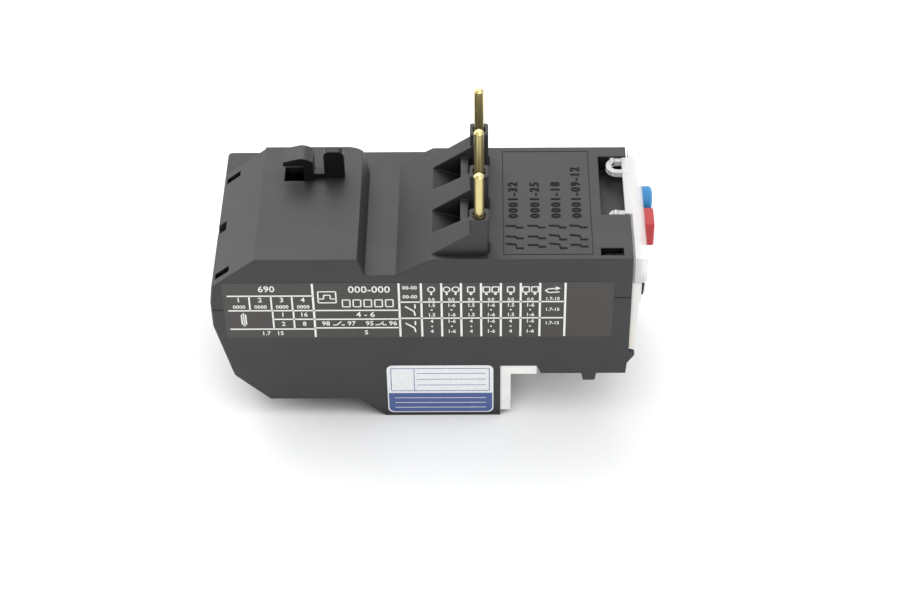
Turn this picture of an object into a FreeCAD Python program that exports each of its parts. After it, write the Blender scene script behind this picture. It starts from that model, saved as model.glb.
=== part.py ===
import FreeCAD, Part
import math
import os

V = FreeCAD.Vector

# Driving dimensions of the moulded housing, millimetres
frame_width = 45.0
body_height = 46.6
wall = 1.6
shoulder_drop = 7.6
block_overhang = 0.6
block_corner_round = 5.0
edge_round = 0.5
far_corner_round = 1.0
fit_gap = 0.05
loose_gap = 0.3

# Upper outline, run by run from the rear to the front
rear_lip = 0.6
rear_ramp_run = 9.5
block_length = 21.65
step_run = 1.45
groove_length = 6.5
groove_drop = 4.4
ramp_run = 7.5
deck_length = 42.4

# Parting line between the two housings, with its step
seam_depth_rear = 12.0
seam_depth_front = 10.9
seam_step_setback = 45.0

# Lower outline
rear_wall_height = 7.0
rear_taper_run = 3.3
rear_taper_drop = 14.5
rear_chamfer_run = 7.55
belly_height = 5.4
foot_length = 25.5
foot_ramp_run = 5.8
foot_setback = 27.8
overhang_height = 15.4
overhang_run = 8.0
overhang_slope = 0.9
front_floor_height = 13.1
front_draft = 0.4
front_draft_height = 6.4

# Pin chimneys, their ribs, and the pockets between the ribs
pole_count = 3
pole_side_margin = 1.275
pole_pitch = (frame_width - 2 * pole_side_margin) / pole_count
pin_pitch = 14.15
first_pin_inset = 3.8
deck_far_margin = 4.9
deck_width = first_pin_inset + (pole_count - 1) * pin_pitch + deck_far_margin
chimney_size = 4.0
chimney_height = 9.2
chimney_round = 0.7
rib_run = 8.2
rib_rise = 6.1
rib_width = 6.8
rib_top_width = 5.4
pocket_drop = 2.1
web_setback = 2.0
web_thickness = 1.6
web_rise = 3.0

# Brass plug pins
pin_diameter = 2.1
pin_reach = 10.85
pin_shoulder_diameter = 2.5
pin_tip_chamfer = 0.5
pin_float = 0.15
pin_foot_thickness = 1.2
pin_foot_width = 3.6
pin_foot_reach = 2.7
retainer_thickness = 1.2
retainer_width = 5.4
retainer_boss_width = 3.0
retainer_screw_diameter = 1.6
retainer_head_diameter = 2.8

# Slots of the upper housing
ramp_slot_length = 3.15
ramp_slot_width = 1.8
ramp_slot_inset = 2.8
ramp_slot_start = 0.65
rear_notch_depth = 2.45
rear_notch_width = 3.0
rear_notch_inset = 18.4
deck_slot_length = 4.85
deck_slot_width = 2.35
deck_slot_inset = 1.3
deck_slot_setback = 6.75

# Main terminals in the foot
terminal_width = 9.2
pocket_depth = 10.8
terminal_axis_height = 8.0
bar_thickness = 1.2
bar_width = 8.0
bar_neck_width = 5.2
bar_foot_height = 3.0
clamp_size = 7.4
clamp_thickness = 1.2
clamp_lift = 1.0
washer_bevel = 0.9
main_screw_diameter = 3.0
main_head_diameter = 5.6
main_head_height = 2.4
screw_slot_depth = 0.9
screw_slot_width = 0.9

# White shroud in front of the main terminals
shroud_thickness = 2.3
shroud_leg_thickness = 2.7
shroud_clear_height = 1.5
shroud_side_inset = 0.2
shroud_notch_width = 7.2
shroud_notch_top = 12.0

# Auxiliary terminals in the front
aux_count = 4
aux_pitch = 10.6
aux_width = 8.0
aux_depth = 9.0
aux_height = 6.8
aux_axis_rise = 3.4
aux_plate_thickness = 0.8
aux_plate_width = 6.0
aux_plate_foot_rise = 1.0
aux_screw_diameter = 2.5
aux_head_diameter = 4.8
aux_head_height = 2.0
aux_washer_size = 5.8
aux_washer_thickness = 0.8
aux_lift = 0.8
barrier_reach = 1.3
barrier_top_rise = 6.4
barrier_tip_height = 0.9
barrier_depth = 3.3
barrier_end_width = 1.2
nub_setback = 6.6
nub_length = 3.6
nub_drop = 2.1
nub_width = 4.0

# Bimetal strips with their heaters
bimetal_length = 39.4
bimetal_thickness = 0.8
bimetal_height = 5.0
bimetal_axis_height = 24.0
root_gap = 0.1
sleeve_thickness = 0.35
sleeve_length = 27.0
sleeve_setback = 5.0
heater_turns = 10
heater_wire = 0.7
lead_thickness = 0.5
lead_width = 2.4
lead_rise = 0.9
partition_thickness = 1.2
partition_drop = 1.0

# Trip bar, compensating lever and contact carriage
trip_travel = 1.5
trip_bar_thickness = 2.6
trip_bar_height = 7.0
trip_bar_lift = 1.0
trip_bar_setback = 37.6
trip_bar_end_inset = 6.0
lever_inset = 3.9
lever_thickness = 1.0
lever_height = 4.5
lever_hub_diameter = 4.0
lever_hub_height = 6.0
pivot_diameter = 2.0
pivot_seat_depth = 7.0
carriage_offset = 6.2
carriage_depth = 4.0
carriage_height = 5.6
carriage_near_reach = 5.0
blade_spread = 2.0
blade_thickness = 0.5
blade_length = 6.5
contact_diameter = 1.9
contact_height = 0.6
fixed_arm_thickness = 0.8
fixed_arm_height = 2.2
fixed_arm_overlap = 2.4

# Front panel and its controls
panel_thickness = 1.6
panel_side_inset = 0.6
panel_bottom_gap = 0.6
panel_top_drop = 3.0
panel_taper = 0.5
panel_lug_width = 2.3
dial_inset = 8.5
dial_drop = 7.7
dial_diameter = 8.2
dial_shaft_diameter = 4.0
dial_boss_wall = 0.8
dial_boss_length = 3.6
dial_slot_length = 6.6
dial_slot_width = 1.0
dial_slot_depth = 0.8
cam_diameter = 6.4
cam_offset = 0.9
cam_thickness = 2.4
stop_far_inset = 14.0
stop_drop = 11.1
stop_width = 6.0
stop_height = 6.2
stop_round = 0.5
reset_far_inset = 6.3
reset_drop = 10.0
reset_diameter = 6.2
reset_setback = 0.1
reset_slot_width = 1.2
reset_slot_depth = 1.0
button_reach = 2.9
button_travel = 2.0
button_flange_thickness = 1.0
button_flange_rim = 0.6
stem_diameter = 3.0
spigot_diameter = 2.4
spigot_length = 4.0
spring_closed_length = 2.4
spring_length = spring_closed_length + button_travel
spring_wire = 0.45
spring_turns = 4
spring_steps = 10
spring_sides = 6
guide_rib_thickness = 1.2
guide_rib_margin = 3.0
stem_tail = 1.4

# Clear cover, its hinge and its catch
cover_gap = 0.4
cover_wall = 1.1
cover_side_inset = 0.3
cover_top_drop = 0.2
cover_drop = 12.4
hinge_setback = 3.0
hinge_drop = 1.0
hinge_diameter = 0.8
hinge_eye_diameter = 1.6
hinge_pin_seat = 1.0
arm_thickness = 1.2
bail_far_inset = 5.9
bail_width = 5.0
bail_bar = 1.2
bail_reach = 4.5
prong_inset = 15.45
prong_width = 1.3
prong_reach = 4.5
cover_web_reach = 1.0
recess_setback = 6.2
recess_near_inset = 14.25
recess_far_inset = 3.2
recess_depth = 4.2
recess_floor = 1.2
catch_width = 2.0
catch_seat = 0.45
catch_reach = 0.55
catch_height = 3.3
catch_rise = 1.8
catch_gap = 0.4
catch_bevel = 0.2

# Hook that grips the contactor, and the hole under its head
hook_start = 14.95
hook_inset = 25.9
hook_depth = 4.8
hook_head_length = 6.45
hook_post_length = 2.1
hook_height = 6.4
hook_roof_fall = 1.2
hook_ridge_round = 3.0
hook_eaves_round = 0.8
hook_head_drop = 2.3
hook_bar_height = 1.2
hook_bar_length = 2.3
hook_tab_length = 4.4
hook_tab_height = 7.2
hook_tab_setback = 1.0
hook_tab_width = 1.6
hook_tab_round = 1.3
hook_peg_depth = 3.0
hook_peg_width = 1.0

# Places along X, worked out from the runs
body_length = (rear_lip + rear_ramp_run + block_length + step_run + groove_length
               + ramp_run + deck_length)
overall_length = body_length + panel_thickness + cover_gap + cover_wall + button_reach
x_rear = -overall_length / 2
x_shoulder = x_rear + rear_lip
x_ridge = x_shoulder + rear_ramp_run
x_block_end = x_ridge + block_length
x_groove = x_block_end + step_run
x_groove_end = x_groove + groove_length
x_ramp_top = x_groove_end + ramp_run
x_front = x_ramp_top + deck_length
x_seam_step = x_front - seam_step_setback
x_foot_front = x_front - foot_setback
x_foot_rear = x_foot_front - foot_length
x_pocket_back = x_foot_front - pocket_depth
x_overhang = x_foot_front + overhang_run
x_chimney = x_ramp_top + rib_run
x_pin = x_chimney + chimney_size / 2
x_pin_foot = x_pin - pin_foot_width / 2
x_web = x_chimney - web_setback
x_rib_step = x_web + web_thickness / 2
x_aux_back = x_front - aux_depth
x_root = x_pocket_back - root_gap
x_trip_bar = x_root - trip_bar_setback
x_carriage = x_foot_front + carriage_offset
x_pivot = (x_trip_bar + x_carriage) / 2
x_panel = x_front + panel_thickness
x_cover_in = x_panel + cover_gap
x_cover = x_cover_in + cover_wall
x_tip = x_cover + button_reach
x_hinge = x_front - hinge_setback
x_recess = x_front - recess_setback
x_blade_tip = x_carriage + carriage_depth / 2 + blade_length
x_hook = x_rear + hook_start
x_hook_post = x_hook + hook_head_length - hook_post_length
x_hook_tab = x_hook + hook_head_length + hook_bar_length

# Places along Y
y_near = -frame_width / 2
y_far = frame_width / 2
y_deck = y_near + deck_width
y_dial = y_near + dial_inset
y_stop = y_deck - stop_far_inset
y_reset = y_deck - reset_far_inset
y_lever = y_far - lever_inset
y_lever_face = y_lever - lever_thickness / 2
y_recess_near = y_near + recess_near_inset
y_recess_far = y_deck - recess_far_inset
y_prong = y_near + prong_inset
y_panel_near = y_near + panel_side_inset
y_catch_far = y_panel_near + catch_width
y_bail = y_deck - bail_far_inset
y_hook = y_near + hook_inset
y_hook_tab = y_hook + hook_tab_setback
y_cover_near = y_near + cover_side_inset
y_cover_far = y_deck - cover_side_inset

# Heights
z_top = body_height
z_ceiling = z_top - wall
z_shoulder = z_top - shoulder_drop
z_groove = z_top - groove_drop
z_seam_rear = z_top - seam_depth_rear
z_seam_front = z_top - seam_depth_front
z_taper_top = z_seam_rear - rear_wall_height
z_chamfer_top = z_taper_top - rear_taper_drop
z_chimney = z_top + chimney_height
z_retainer = z_ceiling - pin_foot_thickness - loose_gap
z_aux_ceiling = front_floor_height + aux_height
z_mech_floor = z_aux_ceiling + wall
z_mid_floor = overhang_height + wall
z_aux_axis = front_floor_height + aux_axis_rise
z_bimetal_low = bimetal_axis_height - bimetal_height / 2
z_bimetal_high = bimetal_axis_height + bimetal_height / 2
z_trip_bar = z_bimetal_low + trip_bar_lift
z_lever_hub = bimetal_axis_height - lever_hub_height / 2
z_carriage = z_mech_floor + loose_gap + fixed_arm_height / 2 + carriage_height / 4
z_dial = z_top - dial_drop
z_stop = z_top - stop_drop
z_reset = z_top - reset_drop
z_panel_bottom = z_aux_ceiling + panel_bottom_gap
z_panel_top = z_top - panel_top_drop
z_cover_top = z_top - cover_top_drop
z_cover_bottom = z_top - cover_drop
z_catch = z_cover_bottom + catch_rise
z_catch_top = z_catch + catch_height
z_hinge = z_top - hinge_drop
z_recess = z_top - recess_depth

# Set back of the cover, so that its rear edge clears the deck while it swings
cover_rear_gap = math.hypot(hinge_setback, hinge_drop) - hinge_setback + loose_gap

# Places of the sprung stems, counted back from the panel
x_flange = x_front - fit_gap - button_flange_thickness
x_guide = x_flange - spring_length
x_guide_back = x_guide - guide_rib_thickness
x_stem_end = x_guide_back - stem_tail


def box(x0, x1, y0, y1, z0, z1):
    """A block between two corners."""
    return Part.makeBox(x1 - x0, y1 - y0, z1 - z0, V(x0, y0, z0))


def rod_x(x0, x1, y, z, diameter):
    """A round rod along X."""
    return Part.makeCylinder(diameter / 2, x1 - x0, V(x0, y, z), V(1, 0, 0))


def rod_y(y0, y1, x, z, diameter):
    """A round rod along Y."""
    return Part.makeCylinder(diameter / 2, y1 - y0, V(x, y0, z), V(0, 1, 0))


def rod_z(z0, z1, x, y, diameter):
    """A round rod along Z."""
    return Part.makeCylinder(diameter / 2, z1 - z0, V(x, y, z0), V(0, 0, 1))


def outline(points):
    """A closed wire through the points."""
    return Part.makePolygon(points + [points[0]])


def side_prism(points, y0, y1):
    """An X-Z outline carried from y0 to y1."""
    wire = outline([V(x, y0, z) for x, z in points])
    return Part.Face(wire).extrude(V(0, y1 - y0, 0))


def plan_prism(points, z0, z1):
    """An X-Y outline carried from z0 to z1."""
    wire = outline([V(x, y, z0) for x, y in points])
    return Part.Face(wire).extrude(V(0, 0, z1 - z0))


def inset_prism(points, inset, y0, y1):
    """An X-Z outline drawn in by one wall and carried from y0 to y1."""
    wire = outline([V(x, y0, z) for x, z in points]).makeOffset2D(-inset, 2)
    return Part.Face(wire).extrude(V(0, y1 - y0, 0))


def join(shapes):
    """One clean solid from touching shapes."""
    return shapes[0].multiFuse(shapes[1:]).removeSplitter()


def rounded(shape, radius, chosen):
    """The shape with its chosen edges rounded."""
    return shape.makeFillet(radius, [edge for edge in shape.Edges if chosen(edge)])


def along_x(edge):
    """True for an edge that runs along X."""
    ends = [vertex.Point for vertex in edge.Vertexes]
    return len(ends) == 2 and abs(ends[1].x - ends[0].x) > 0.999 * (ends[1] - ends[0]).Length


def upright(edge):
    """True for an edge that runs along Z."""
    ends = [vertex.Point for vertex in edge.Vertexes]
    return len(ends) == 2 and abs(ends[1].z - ends[0].z) > 0.999 * (ends[1] - ends[0]).Length


def pole_y(pole):
    """The middle of a pole's chamber."""
    return (pole - (pole_count - 1) / 2) * pole_pitch


def pin_y(pole):
    """The axis of a pole's plug pin."""
    return y_near + first_pin_inset + pole * pin_pitch


def rib_near_y(pole):
    """The near face of a pole's rib and chimney."""
    return pin_y(pole) - chimney_size / 2


def aux_y(number):
    """The middle of an auxiliary terminal."""
    return (number - (aux_count - 1) / 2) * aux_pitch


def front_windows():
    """The openings in the front wall behind the panel."""
    dial = rod_x(x_front - dial_boss_length - loose_gap, x_front + wall, y_dial, z_dial,
                 boss_diameter() + 2 * loose_gap)
    flange = button_flange_rim + 2 * loose_gap
    buttons = box(x_front - 2 * wall, x_front + wall,
                  y_stop - stop_width / 2 - flange, y_reset + reset_diameter / 2 + flange,
                  z_stop - stop_height / 2 - flange, z_recess - recess_floor)
    return [dial, buttons]


def boss_diameter():
    """Outside of the panel's boss round the dial."""
    return dial_diameter + 2 * loose_gap + 2 * dial_boss_wall


def upper_outline(bottom):
    """Outline of the upper housing down to a level bottom."""
    return [(x_rear, bottom), (x_rear, z_seam_rear), (x_shoulder, z_shoulder), (x_ridge, z_top),
            (x_block_end, z_top), (x_groove, z_groove), (x_groove_end, z_groove),
            (x_ramp_top, z_top), (x_front, z_top), (x_front, bottom)]


def seam_outline(height):
    """Outline of everything above the stepped parting line."""
    return [(x_rear - wall, z_seam_rear), (x_seam_step, z_seam_rear), (x_seam_step, z_seam_front),
            (x_front + wall, z_seam_front), (x_front + wall, height), (x_rear - wall, height)]


def upper_shell():
    """The hollow upper moulding with its far shoulder and overhanging block."""
    low = z_seam_rear - 2 * wall
    body = side_prism(upper_outline(low), y_near, y_deck)
    near_rear = rear_corner(y_near, x_shoulder)
    body = rounded(body, edge_round, lambda edge: near_top_edge(edge) or near_rear(edge))
    shoulder = side_prism([(x_rear, low), (x_rear, z_seam_rear), (x_shoulder, z_shoulder),
                           (x_front, z_shoulder), (x_front, low)], y_deck, y_far)
    shoulder = rounded(shoulder, far_corner_round, rear_corner(y_far, x_shoulder))
    block = side_prism([(x_ridge, z_shoulder), (x_ridge, z_top), (x_block_end, z_top),
                        (x_groove, z_groove), (x_groove, z_shoulder)],
                       y_deck, y_deck + block_overhang)
    hollow = inset_prism(upper_outline(low - wall), wall, y_near + wall, y_deck - wall)
    side_hollow = box(x_rear + wall, x_front - wall, y_deck - 2 * wall, y_far - wall,
                      low - wall, z_shoulder - wall)
    shell = join([body, shoulder, block]).cut([hollow, side_hollow, block_corner()])
    return shell.common(side_prism(seam_outline(z_top + wall), y_near - wall, y_far + wall))


def block_corner():
    """What the round far corner of the raised block leaves out."""
    y1 = y_deck + block_overhang
    x0 = x_groove - block_corner_round
    y0 = y1 - block_corner_round
    corner = box(x0, x_groove, y0, y1 + wall, z_groove, z_top + wall)
    return corner.cut(rod_z(z_groove, z_top + wall, x0, y0, 2 * block_corner_round))


def rear_corner(y, x_end):
    """A test for the edges of one side from the rear face on to x_end."""
    def chosen(edge):
        ends = [vertex.Point for vertex in edge.Vertexes]
        return all(abs(point.y - y) < 1e-6 and point.x < x_end + 1e-6 for point in ends)
    return chosen


def near_top_edge(edge):
    """True for the edges between the near side and the top faces."""
    ends = [vertex.Point for vertex in edge.Vertexes]
    on_side = all(abs(point.y - y_near) < 1e-6 for point in ends)
    return on_side and min(point.z for point in ends) > z_shoulder - 1e-6


def chimney(pole):
    """A square pin socket with rounded corners and the tapering rib behind it."""
    y0 = rib_near_y(pole)
    tower = box(x_chimney, x_chimney + chimney_size, y0, y0 + chimney_size, z_top - wall, z_chimney)
    tower = rounded(tower, chimney_round, upright)
    x1 = x_chimney + chimney_round
    last = pole == pole_count - 1
    foot_width = chimney_size if last else rib_width
    top_width = chimney_size if last else rib_top_width
    rib = side_prism([(x_ramp_top, z_top), (x1, z_top + rib_rise), (x1, z_ceiling), (x_rib_step, z_ceiling),
                      (x_rib_step, z_ceiling - pocket_drop), (x_web, z_ceiling - pocket_drop),
                      (x_ramp_top, z_ceiling)], y0, y0 + foot_width)
    plan = plan_prism([(x_ramp_top, y0), (x1, y0), (x1, y0 + top_width), (x_ramp_top, y0 + foot_width)],
                      z_ceiling - pocket_drop, z_chimney)
    return [tower, rib.common(plan)]


def pin_bore(pole):
    """The slot through a chimney, as wide as the pin and its float."""
    y = pin_y(pole)
    slack = pin_float + 2 * fit_gap
    diameter = pin_shoulder_diameter + 4 * fit_gap
    ends = [rod_z(z_ceiling - wall, z_chimney + wall, x_pin, y + side * slack, diameter)
            for side in (-1, 1)]
    middle = box(x_pin - diameter / 2, x_pin + diameter / 2, y - slack, y + slack,
                 z_ceiling - wall, z_chimney + wall)
    return ends + [middle]


def rib_pocket(pole):
    """The sloping floor, its cut and the cross web between two ribs."""
    y0 = rib_near_y(pole) + rib_top_width
    y1 = rib_near_y(pole + 1)
    x_web_front = x_web + web_thickness
    floor = side_prism([(x_ramp_top, z_ceiling), (x_web, z_ceiling - pocket_drop),
                        (x_web_front, z_ceiling - pocket_drop), (x_web_front, z_ceiling)], y0, y1)
    cut = side_prism([(x_ramp_top, z_top), (x_web, z_top), (x_web, z_top - pocket_drop)], y0, y1)
    web = box(x_web, x_web_front, y0, y1, z_ceiling - pocket_drop, z_top + web_rise)
    return floor, cut, web


def cover_recess():
    """The tub that sinks into the deck for the arms of the clear cover, and its hollow."""
    tub = box(x_recess - wall, x_front, y_recess_near - wall, y_recess_far + wall,
              z_recess - recess_floor, z_top)
    hollow = box(x_recess, x_front + wall, y_recess_near, y_recess_far, z_recess, z_top + wall)
    pin_hole = rod_y(y_recess_near - hinge_pin_seat, y_recess_far + hinge_pin_seat,
                     x_hinge, z_hinge, hinge_diameter)
    return tub, [hollow, pin_hole]


def guide_rib():
    """The wall that guides the stems of the two buttons, with its holes."""
    rib = box(x_guide_back, x_guide, y_stop - guide_rib_margin, y_reset + guide_rib_margin,
              min(z_stop, z_reset) - guide_rib_margin, z_ceiling)
    holes = [rod_x(x_guide_back - wall, x_guide + wall, y, z, stem_diameter + 2 * fit_gap)
             for y, z in ((y_stop, z_stop), (y_reset, z_reset))]
    return rib.cut(holes)


def retainer_boss(pole):
    """The boss beside a pin that carries the pin retainer."""
    y = retainer_screw_y(pole)
    boss = box(x_pin_foot, x_pin_foot + retainer_width,
               y - retainer_boss_width / 2, y + retainer_boss_width / 2, z_retainer, z_ceiling)
    return boss.cut(retainer_screw_hole(pole, z_retainer, z_ceiling))


def retainer_screw_y(pole):
    """The axis of one retainer screw."""
    return pin_y(pole + 1) - pin_pitch / 3


def retainer_screw_hole(pole, z0, z1):
    """The hole of one retainer screw."""
    return rod_z(z0, z1, x_pin, retainer_screw_y(pole), retainer_screw_diameter)


def housing_slots():
    """Moulding slots on the rear ramp, at the rear edge and on the deck."""
    slots = []
    for y in (y_near + ramp_slot_inset, y_deck - ramp_slot_inset):
        slots.append(box(x_shoulder + ramp_slot_start, x_shoulder + ramp_slot_start + ramp_slot_length,
                         y - ramp_slot_width / 2, y + ramp_slot_width / 2,
                         z_shoulder - 2 * wall, z_top))
    middle = y_near + rear_notch_inset
    slots.append(box(x_rear - wall, x_rear + rear_notch_depth,
                     middle - rear_notch_width / 2, middle + rear_notch_width / 2,
                     z_shoulder - wall, z_top))
    slots.append(box(x_front - deck_slot_setback, x_front - deck_slot_setback + deck_slot_length,
                     y_near + deck_slot_inset, y_near + deck_slot_inset + deck_slot_width,
                     z_top - wall, z_top + wall))
    return slots


def hook_peg():
    """The peg under the hook, pressed into a slot of the same size."""
    x0 = x_hook_post + hook_post_length / 4
    x1 = x_hook_tab + hook_tab_length / 2
    y0 = y_hook_tab + (hook_tab_width - hook_peg_width) / 2
    return box(x0, x1, y0, y0 + hook_peg_width, z_top - hook_peg_depth, z_top)


def hook_hole():
    """The hole in the deck under the head of the hook."""
    return box(x_hook, x_hook_post, y_hook, y_hook + hook_depth, z_ceiling - wall, z_top + wall)


def upper_housing():
    """The upper moulding with ribs, chimneys, recess and slots."""
    tub, tub_cuts = cover_recess()
    base = [upper_shell(), tub, guide_rib()]
    pockets = []
    raised = []
    cuts = tub_cuts + housing_slots() + front_windows() + [hook_peg(), hook_hole()]
    for pole in range(pole_count - 1):
        floor, cut, web = rib_pocket(pole)
        base += [floor, retainer_boss(pole)]
        pockets.append(cut)
        raised.append(web)
    for pole in range(pole_count):
        raised += chimney(pole)
        cuts += pin_bore(pole)
    return join([join(base).cut(pockets)] + raised).cut(cuts).removeSplitter()


def lower_outline(top):
    """Outline of the lower housing up to a level top."""
    return [(x_rear, top), (x_rear, z_taper_top), (x_rear + rear_taper_run, z_chamfer_top),
            (x_rear + rear_taper_run + rear_chamfer_run, belly_height),
            (x_foot_rear - foot_ramp_run, belly_height), (x_foot_rear, 0), (x_foot_front, 0),
            (x_foot_front, overhang_height), (x_overhang, overhang_height),
            (x_overhang + overhang_slope, front_floor_height), (x_front - front_draft, front_floor_height),
            (x_front, front_floor_height + front_draft_height), (x_front, top)]


def lower_shell():
    """The hollow lower moulding with solid terminal blocks."""
    high = z_seam_front + 2 * wall
    body = side_prism(lower_outline(high), y_near, y_far)
    x_taper = x_rear + rear_taper_run
    body = rounded(body, edge_round, rear_corner(y_near, x_taper))
    body = rounded(body, far_corner_round, rear_corner(y_far, x_taper))
    body = body.cut(side_prism(seam_outline(high + wall), y_near - wall, y_far + wall))
    hollow = inset_prism(lower_outline(high + wall), wall, y_near + wall, y_far - wall)
    rear = box(x_rear, x_pocket_back - wall, y_near, y_far, 0, high)
    middle = box(x_rear, x_aux_back - wall, y_near, y_far, z_mid_floor, high)
    front = box(x_rear, x_front, y_near, y_far, z_mech_floor, high)
    room = join([rear, middle, front])
    return body.cut(hollow.common(room))


def partition(side):
    """A wall between two pole chambers, with the notch that the trip bar slides in."""
    y = side * pole_pitch / 2
    high = z_seam_rear - partition_drop
    sheet = side_prism(lower_outline(high), y - partition_thickness / 2, y + partition_thickness / 2)
    sheet = sheet.common(box(x_rear, x_pocket_back - wall / 2, y_near, y_far, 0, high))
    notch = box(x_trip_bar - trip_bar_thickness / 2 - fit_gap, x_trip_bar + trip_bar_thickness / 2 + fit_gap,
                y_near, y_far, z_trip_bar, high)
    return sheet.cut(notch)


def terminal_pocket(pole):
    """The pocket of a main terminal, its bar slot and its screw hole."""
    y = pole_y(pole)
    pocket = box(x_pocket_back, x_foot_front + wall, y - terminal_width / 2, y + terminal_width / 2,
                 -wall, overhang_height)
    slot = box(x_pocket_back, x_pocket_back + bar_thickness + fit_gap,
               y - bar_neck_width / 2 - fit_gap, y + bar_neck_width / 2 + fit_gap,
               overhang_height, z_mid_floor)
    tip = rod_x(x_pocket_back - 2 * wall, x_pocket_back, y, terminal_axis_height,
                main_screw_diameter + 2 * loose_gap)
    return [pocket, slot, tip]


def aux_pocket(number):
    """The pocket of an auxiliary terminal, its plate slot and its screw hole."""
    y = aux_y(number)
    pocket = box(x_aux_back, x_front + wall, y - aux_width / 2, y + aux_width / 2,
                 front_floor_height - wall, z_aux_ceiling)
    slot = box(x_aux_back, x_aux_back + aux_plate_thickness + fit_gap,
               y - aux_plate_width / 2 - fit_gap, y + aux_plate_width / 2 + fit_gap,
               z_aux_ceiling, z_mech_floor)
    tip = rod_x(x_aux_back - wall, x_aux_back, y, z_aux_axis, aux_screw_diameter + 2 * loose_gap)
    return [pocket, slot, tip]


def barrier(number):
    """The pointed tip of the wall between two auxiliary terminals."""
    y0 = aux_y(number - 1) + aux_width / 2
    y1 = aux_y(number) - aux_width / 2
    if number == 0:
        y0 = y_near
        y1 = y_near + barrier_end_width
    if number == aux_count:
        y0 = y_far - barrier_end_width
        y1 = y_far
    high = front_floor_height + barrier_top_rise
    x_point = x_front + barrier_reach
    return side_prism([(x_front - wall, high), (x_front, high), (x_point, high - barrier_tip_height / 2),
                       (x_point, high - barrier_tip_height),
                       (x_front - front_draft / 2, high - barrier_depth),
                       (x_front - wall, high - barrier_depth)], y0, y1)


def nub(y0):
    """A small foot under the overhanging front."""
    x1 = x_front - nub_setback
    return side_prism([(x1 - nub_length, front_floor_height + wall / 2),
                       (x1 - nub_length + nub_drop / 4, front_floor_height - nub_drop),
                       (x1 - nub_drop / 4, front_floor_height - nub_drop),
                       (x1, front_floor_height + wall / 2)], y0, y0 + nub_width)


def lever_boss():
    """The post that carries the pivot of the compensating lever."""
    return rod_z(wall / 2, z_lever_hub, x_pivot, y_lever, lever_hub_diameter + loose_gap)


def lever_pivot():
    """The steel pin that the compensating lever turns on."""
    return rod_z(z_lever_hub - pivot_seat_depth, z_lever_hub + lever_hub_height + loose_gap,
                 x_pivot, y_lever, pivot_diameter)


def carriage_rest():
    """The post under the contact carriage."""
    return box(x_carriage - carriage_depth / 2 + fit_gap, x_carriage + carriage_depth / 2 - fit_gap,
               blade_spread + carriage_depth, blade_spread + 2 * carriage_depth,
               z_mid_floor - wall / 2, z_carriage - carriage_height / 2)


def lower_housing():
    """The lower moulding with partitions, terminal pockets and barriers."""
    boss = lever_boss().common(box(x_rear, x_front, y_near, y_far - wall / 2, 0, z_top))
    added = [lower_shell(), boss, carriage_rest(), nub(y_near), nub(y_far - nub_width)]
    added += [partition(side) for side in (-1, 1)]
    added += [barrier(number) for number in range(aux_count + 1)]
    cuts = front_windows() + [lever_pivot()]
    for pole in range(pole_count):
        cuts += terminal_pocket(pole)
    for number in range(aux_count):
        cuts += aux_pocket(number)
    return join(added).cut(cuts).removeSplitter()


def terminal_shroud():
    """The white L in front of the foot, notched for each main terminal."""
    y0 = y_near + shroud_side_inset
    y1 = y_far - shroud_side_inset
    plate = box(x_foot_front, x_foot_front + shroud_thickness, y0, y1, shroud_clear_height, overhang_height)
    leg = box(x_foot_front, x_overhang, y0, y1, overhang_height - shroud_leg_thickness, overhang_height)
    notches = []
    for pole in range(pole_count):
        y = pole_y(pole)
        half = shroud_notch_width / 2
        notches.append(box(x_foot_front - wall, x_foot_front + 2 * shroud_thickness,
                           y - half, y + half, 0, shroud_notch_top))
    return join([plate, leg]).cut(notches)


def front_panel():
    """The cream plate with the dial boss, the button openings and two hinge lugs."""
    y1 = y_far - panel_side_inset
    z_split = z_cover_bottom - loose_gap
    low = side_prism([(x_front, z_panel_bottom), (x_panel - panel_taper, z_panel_bottom),
                      (x_panel, z_split), (x_front, z_split)], y_panel_near, y1)
    seat = box(x_front, x_panel + catch_seat, y_panel_near, y_catch_far, z_split, z_catch_top)
    inset = cover_side_inset + cover_wall + 2 * loose_gap
    high = box(x_front, x_panel, y_near + inset, y_deck - inset, z_split, z_panel_top)
    middle = (y_bail + y_prong) / 2
    lugs = [box(x_front, x_panel, y - panel_lug_width / 2, y + panel_lug_width / 2, z_split,
                z_cover_top - cover_wall - loose_gap)
            for y in (middle, y_bail)]
    boss = rod_x(x_front - dial_boss_length, x_panel, y_dial, z_dial, boss_diameter())
    dial = rod_x(x_front, x_panel + wall, y_dial, z_dial, dial_diameter + 2 * loose_gap)
    bore = rod_x(x_front - 2 * dial_boss_length, x_panel, y_dial, z_dial, dial_shaft_diameter + 2 * fit_gap)
    half_y = stop_width / 2 + loose_gap
    half_z = stop_height / 2 + loose_gap
    stop = box(x_front - wall, x_panel + wall, y_stop - half_y, y_stop + half_y,
               z_stop - half_z, z_stop + half_z)
    reset = rod_x(x_front - wall, x_panel + wall, y_reset, z_reset, reset_diameter + 2 * loose_gap)
    return join([low, seat, high, boss] + lugs).cut([dial, bore, stop, reset]).removeSplitter()


def bail(z0, z1):
    """The rounded loop of the cover that reaches into the recess."""
    y = y_bail
    radius = bail_width / 2
    inner = radius - bail_bar
    x_bend = x_front - bail_reach + radius
    solid = [rod_z(z0, z1, x_bend, y, bail_width),
             box(x_bend, x_cover_in + cover_wall / 2, y - radius, y + radius, z0, z1)]
    hole = [rod_z(z0, z1, x_bend, y, 2 * inner), box(x_bend, x_cover_in, y - inner, y + inner, z0, z1)]
    return join(solid).cut(hole)


def prong(z0, z1):
    """The pointed arm of the cover that reaches into the recess."""
    y = y_prong
    half = prong_width / 2
    x_end = x_front - prong_reach
    return plan_prism([(x_cover_in + cover_wall / 2, y - half), (x_cover_in + cover_wall / 2, y + half),
                       (x_hinge - hinge_eye_diameter / 2, y + half), (x_end, y - half / 2),
                       (x_end, y - half)], z0, z1)


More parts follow.
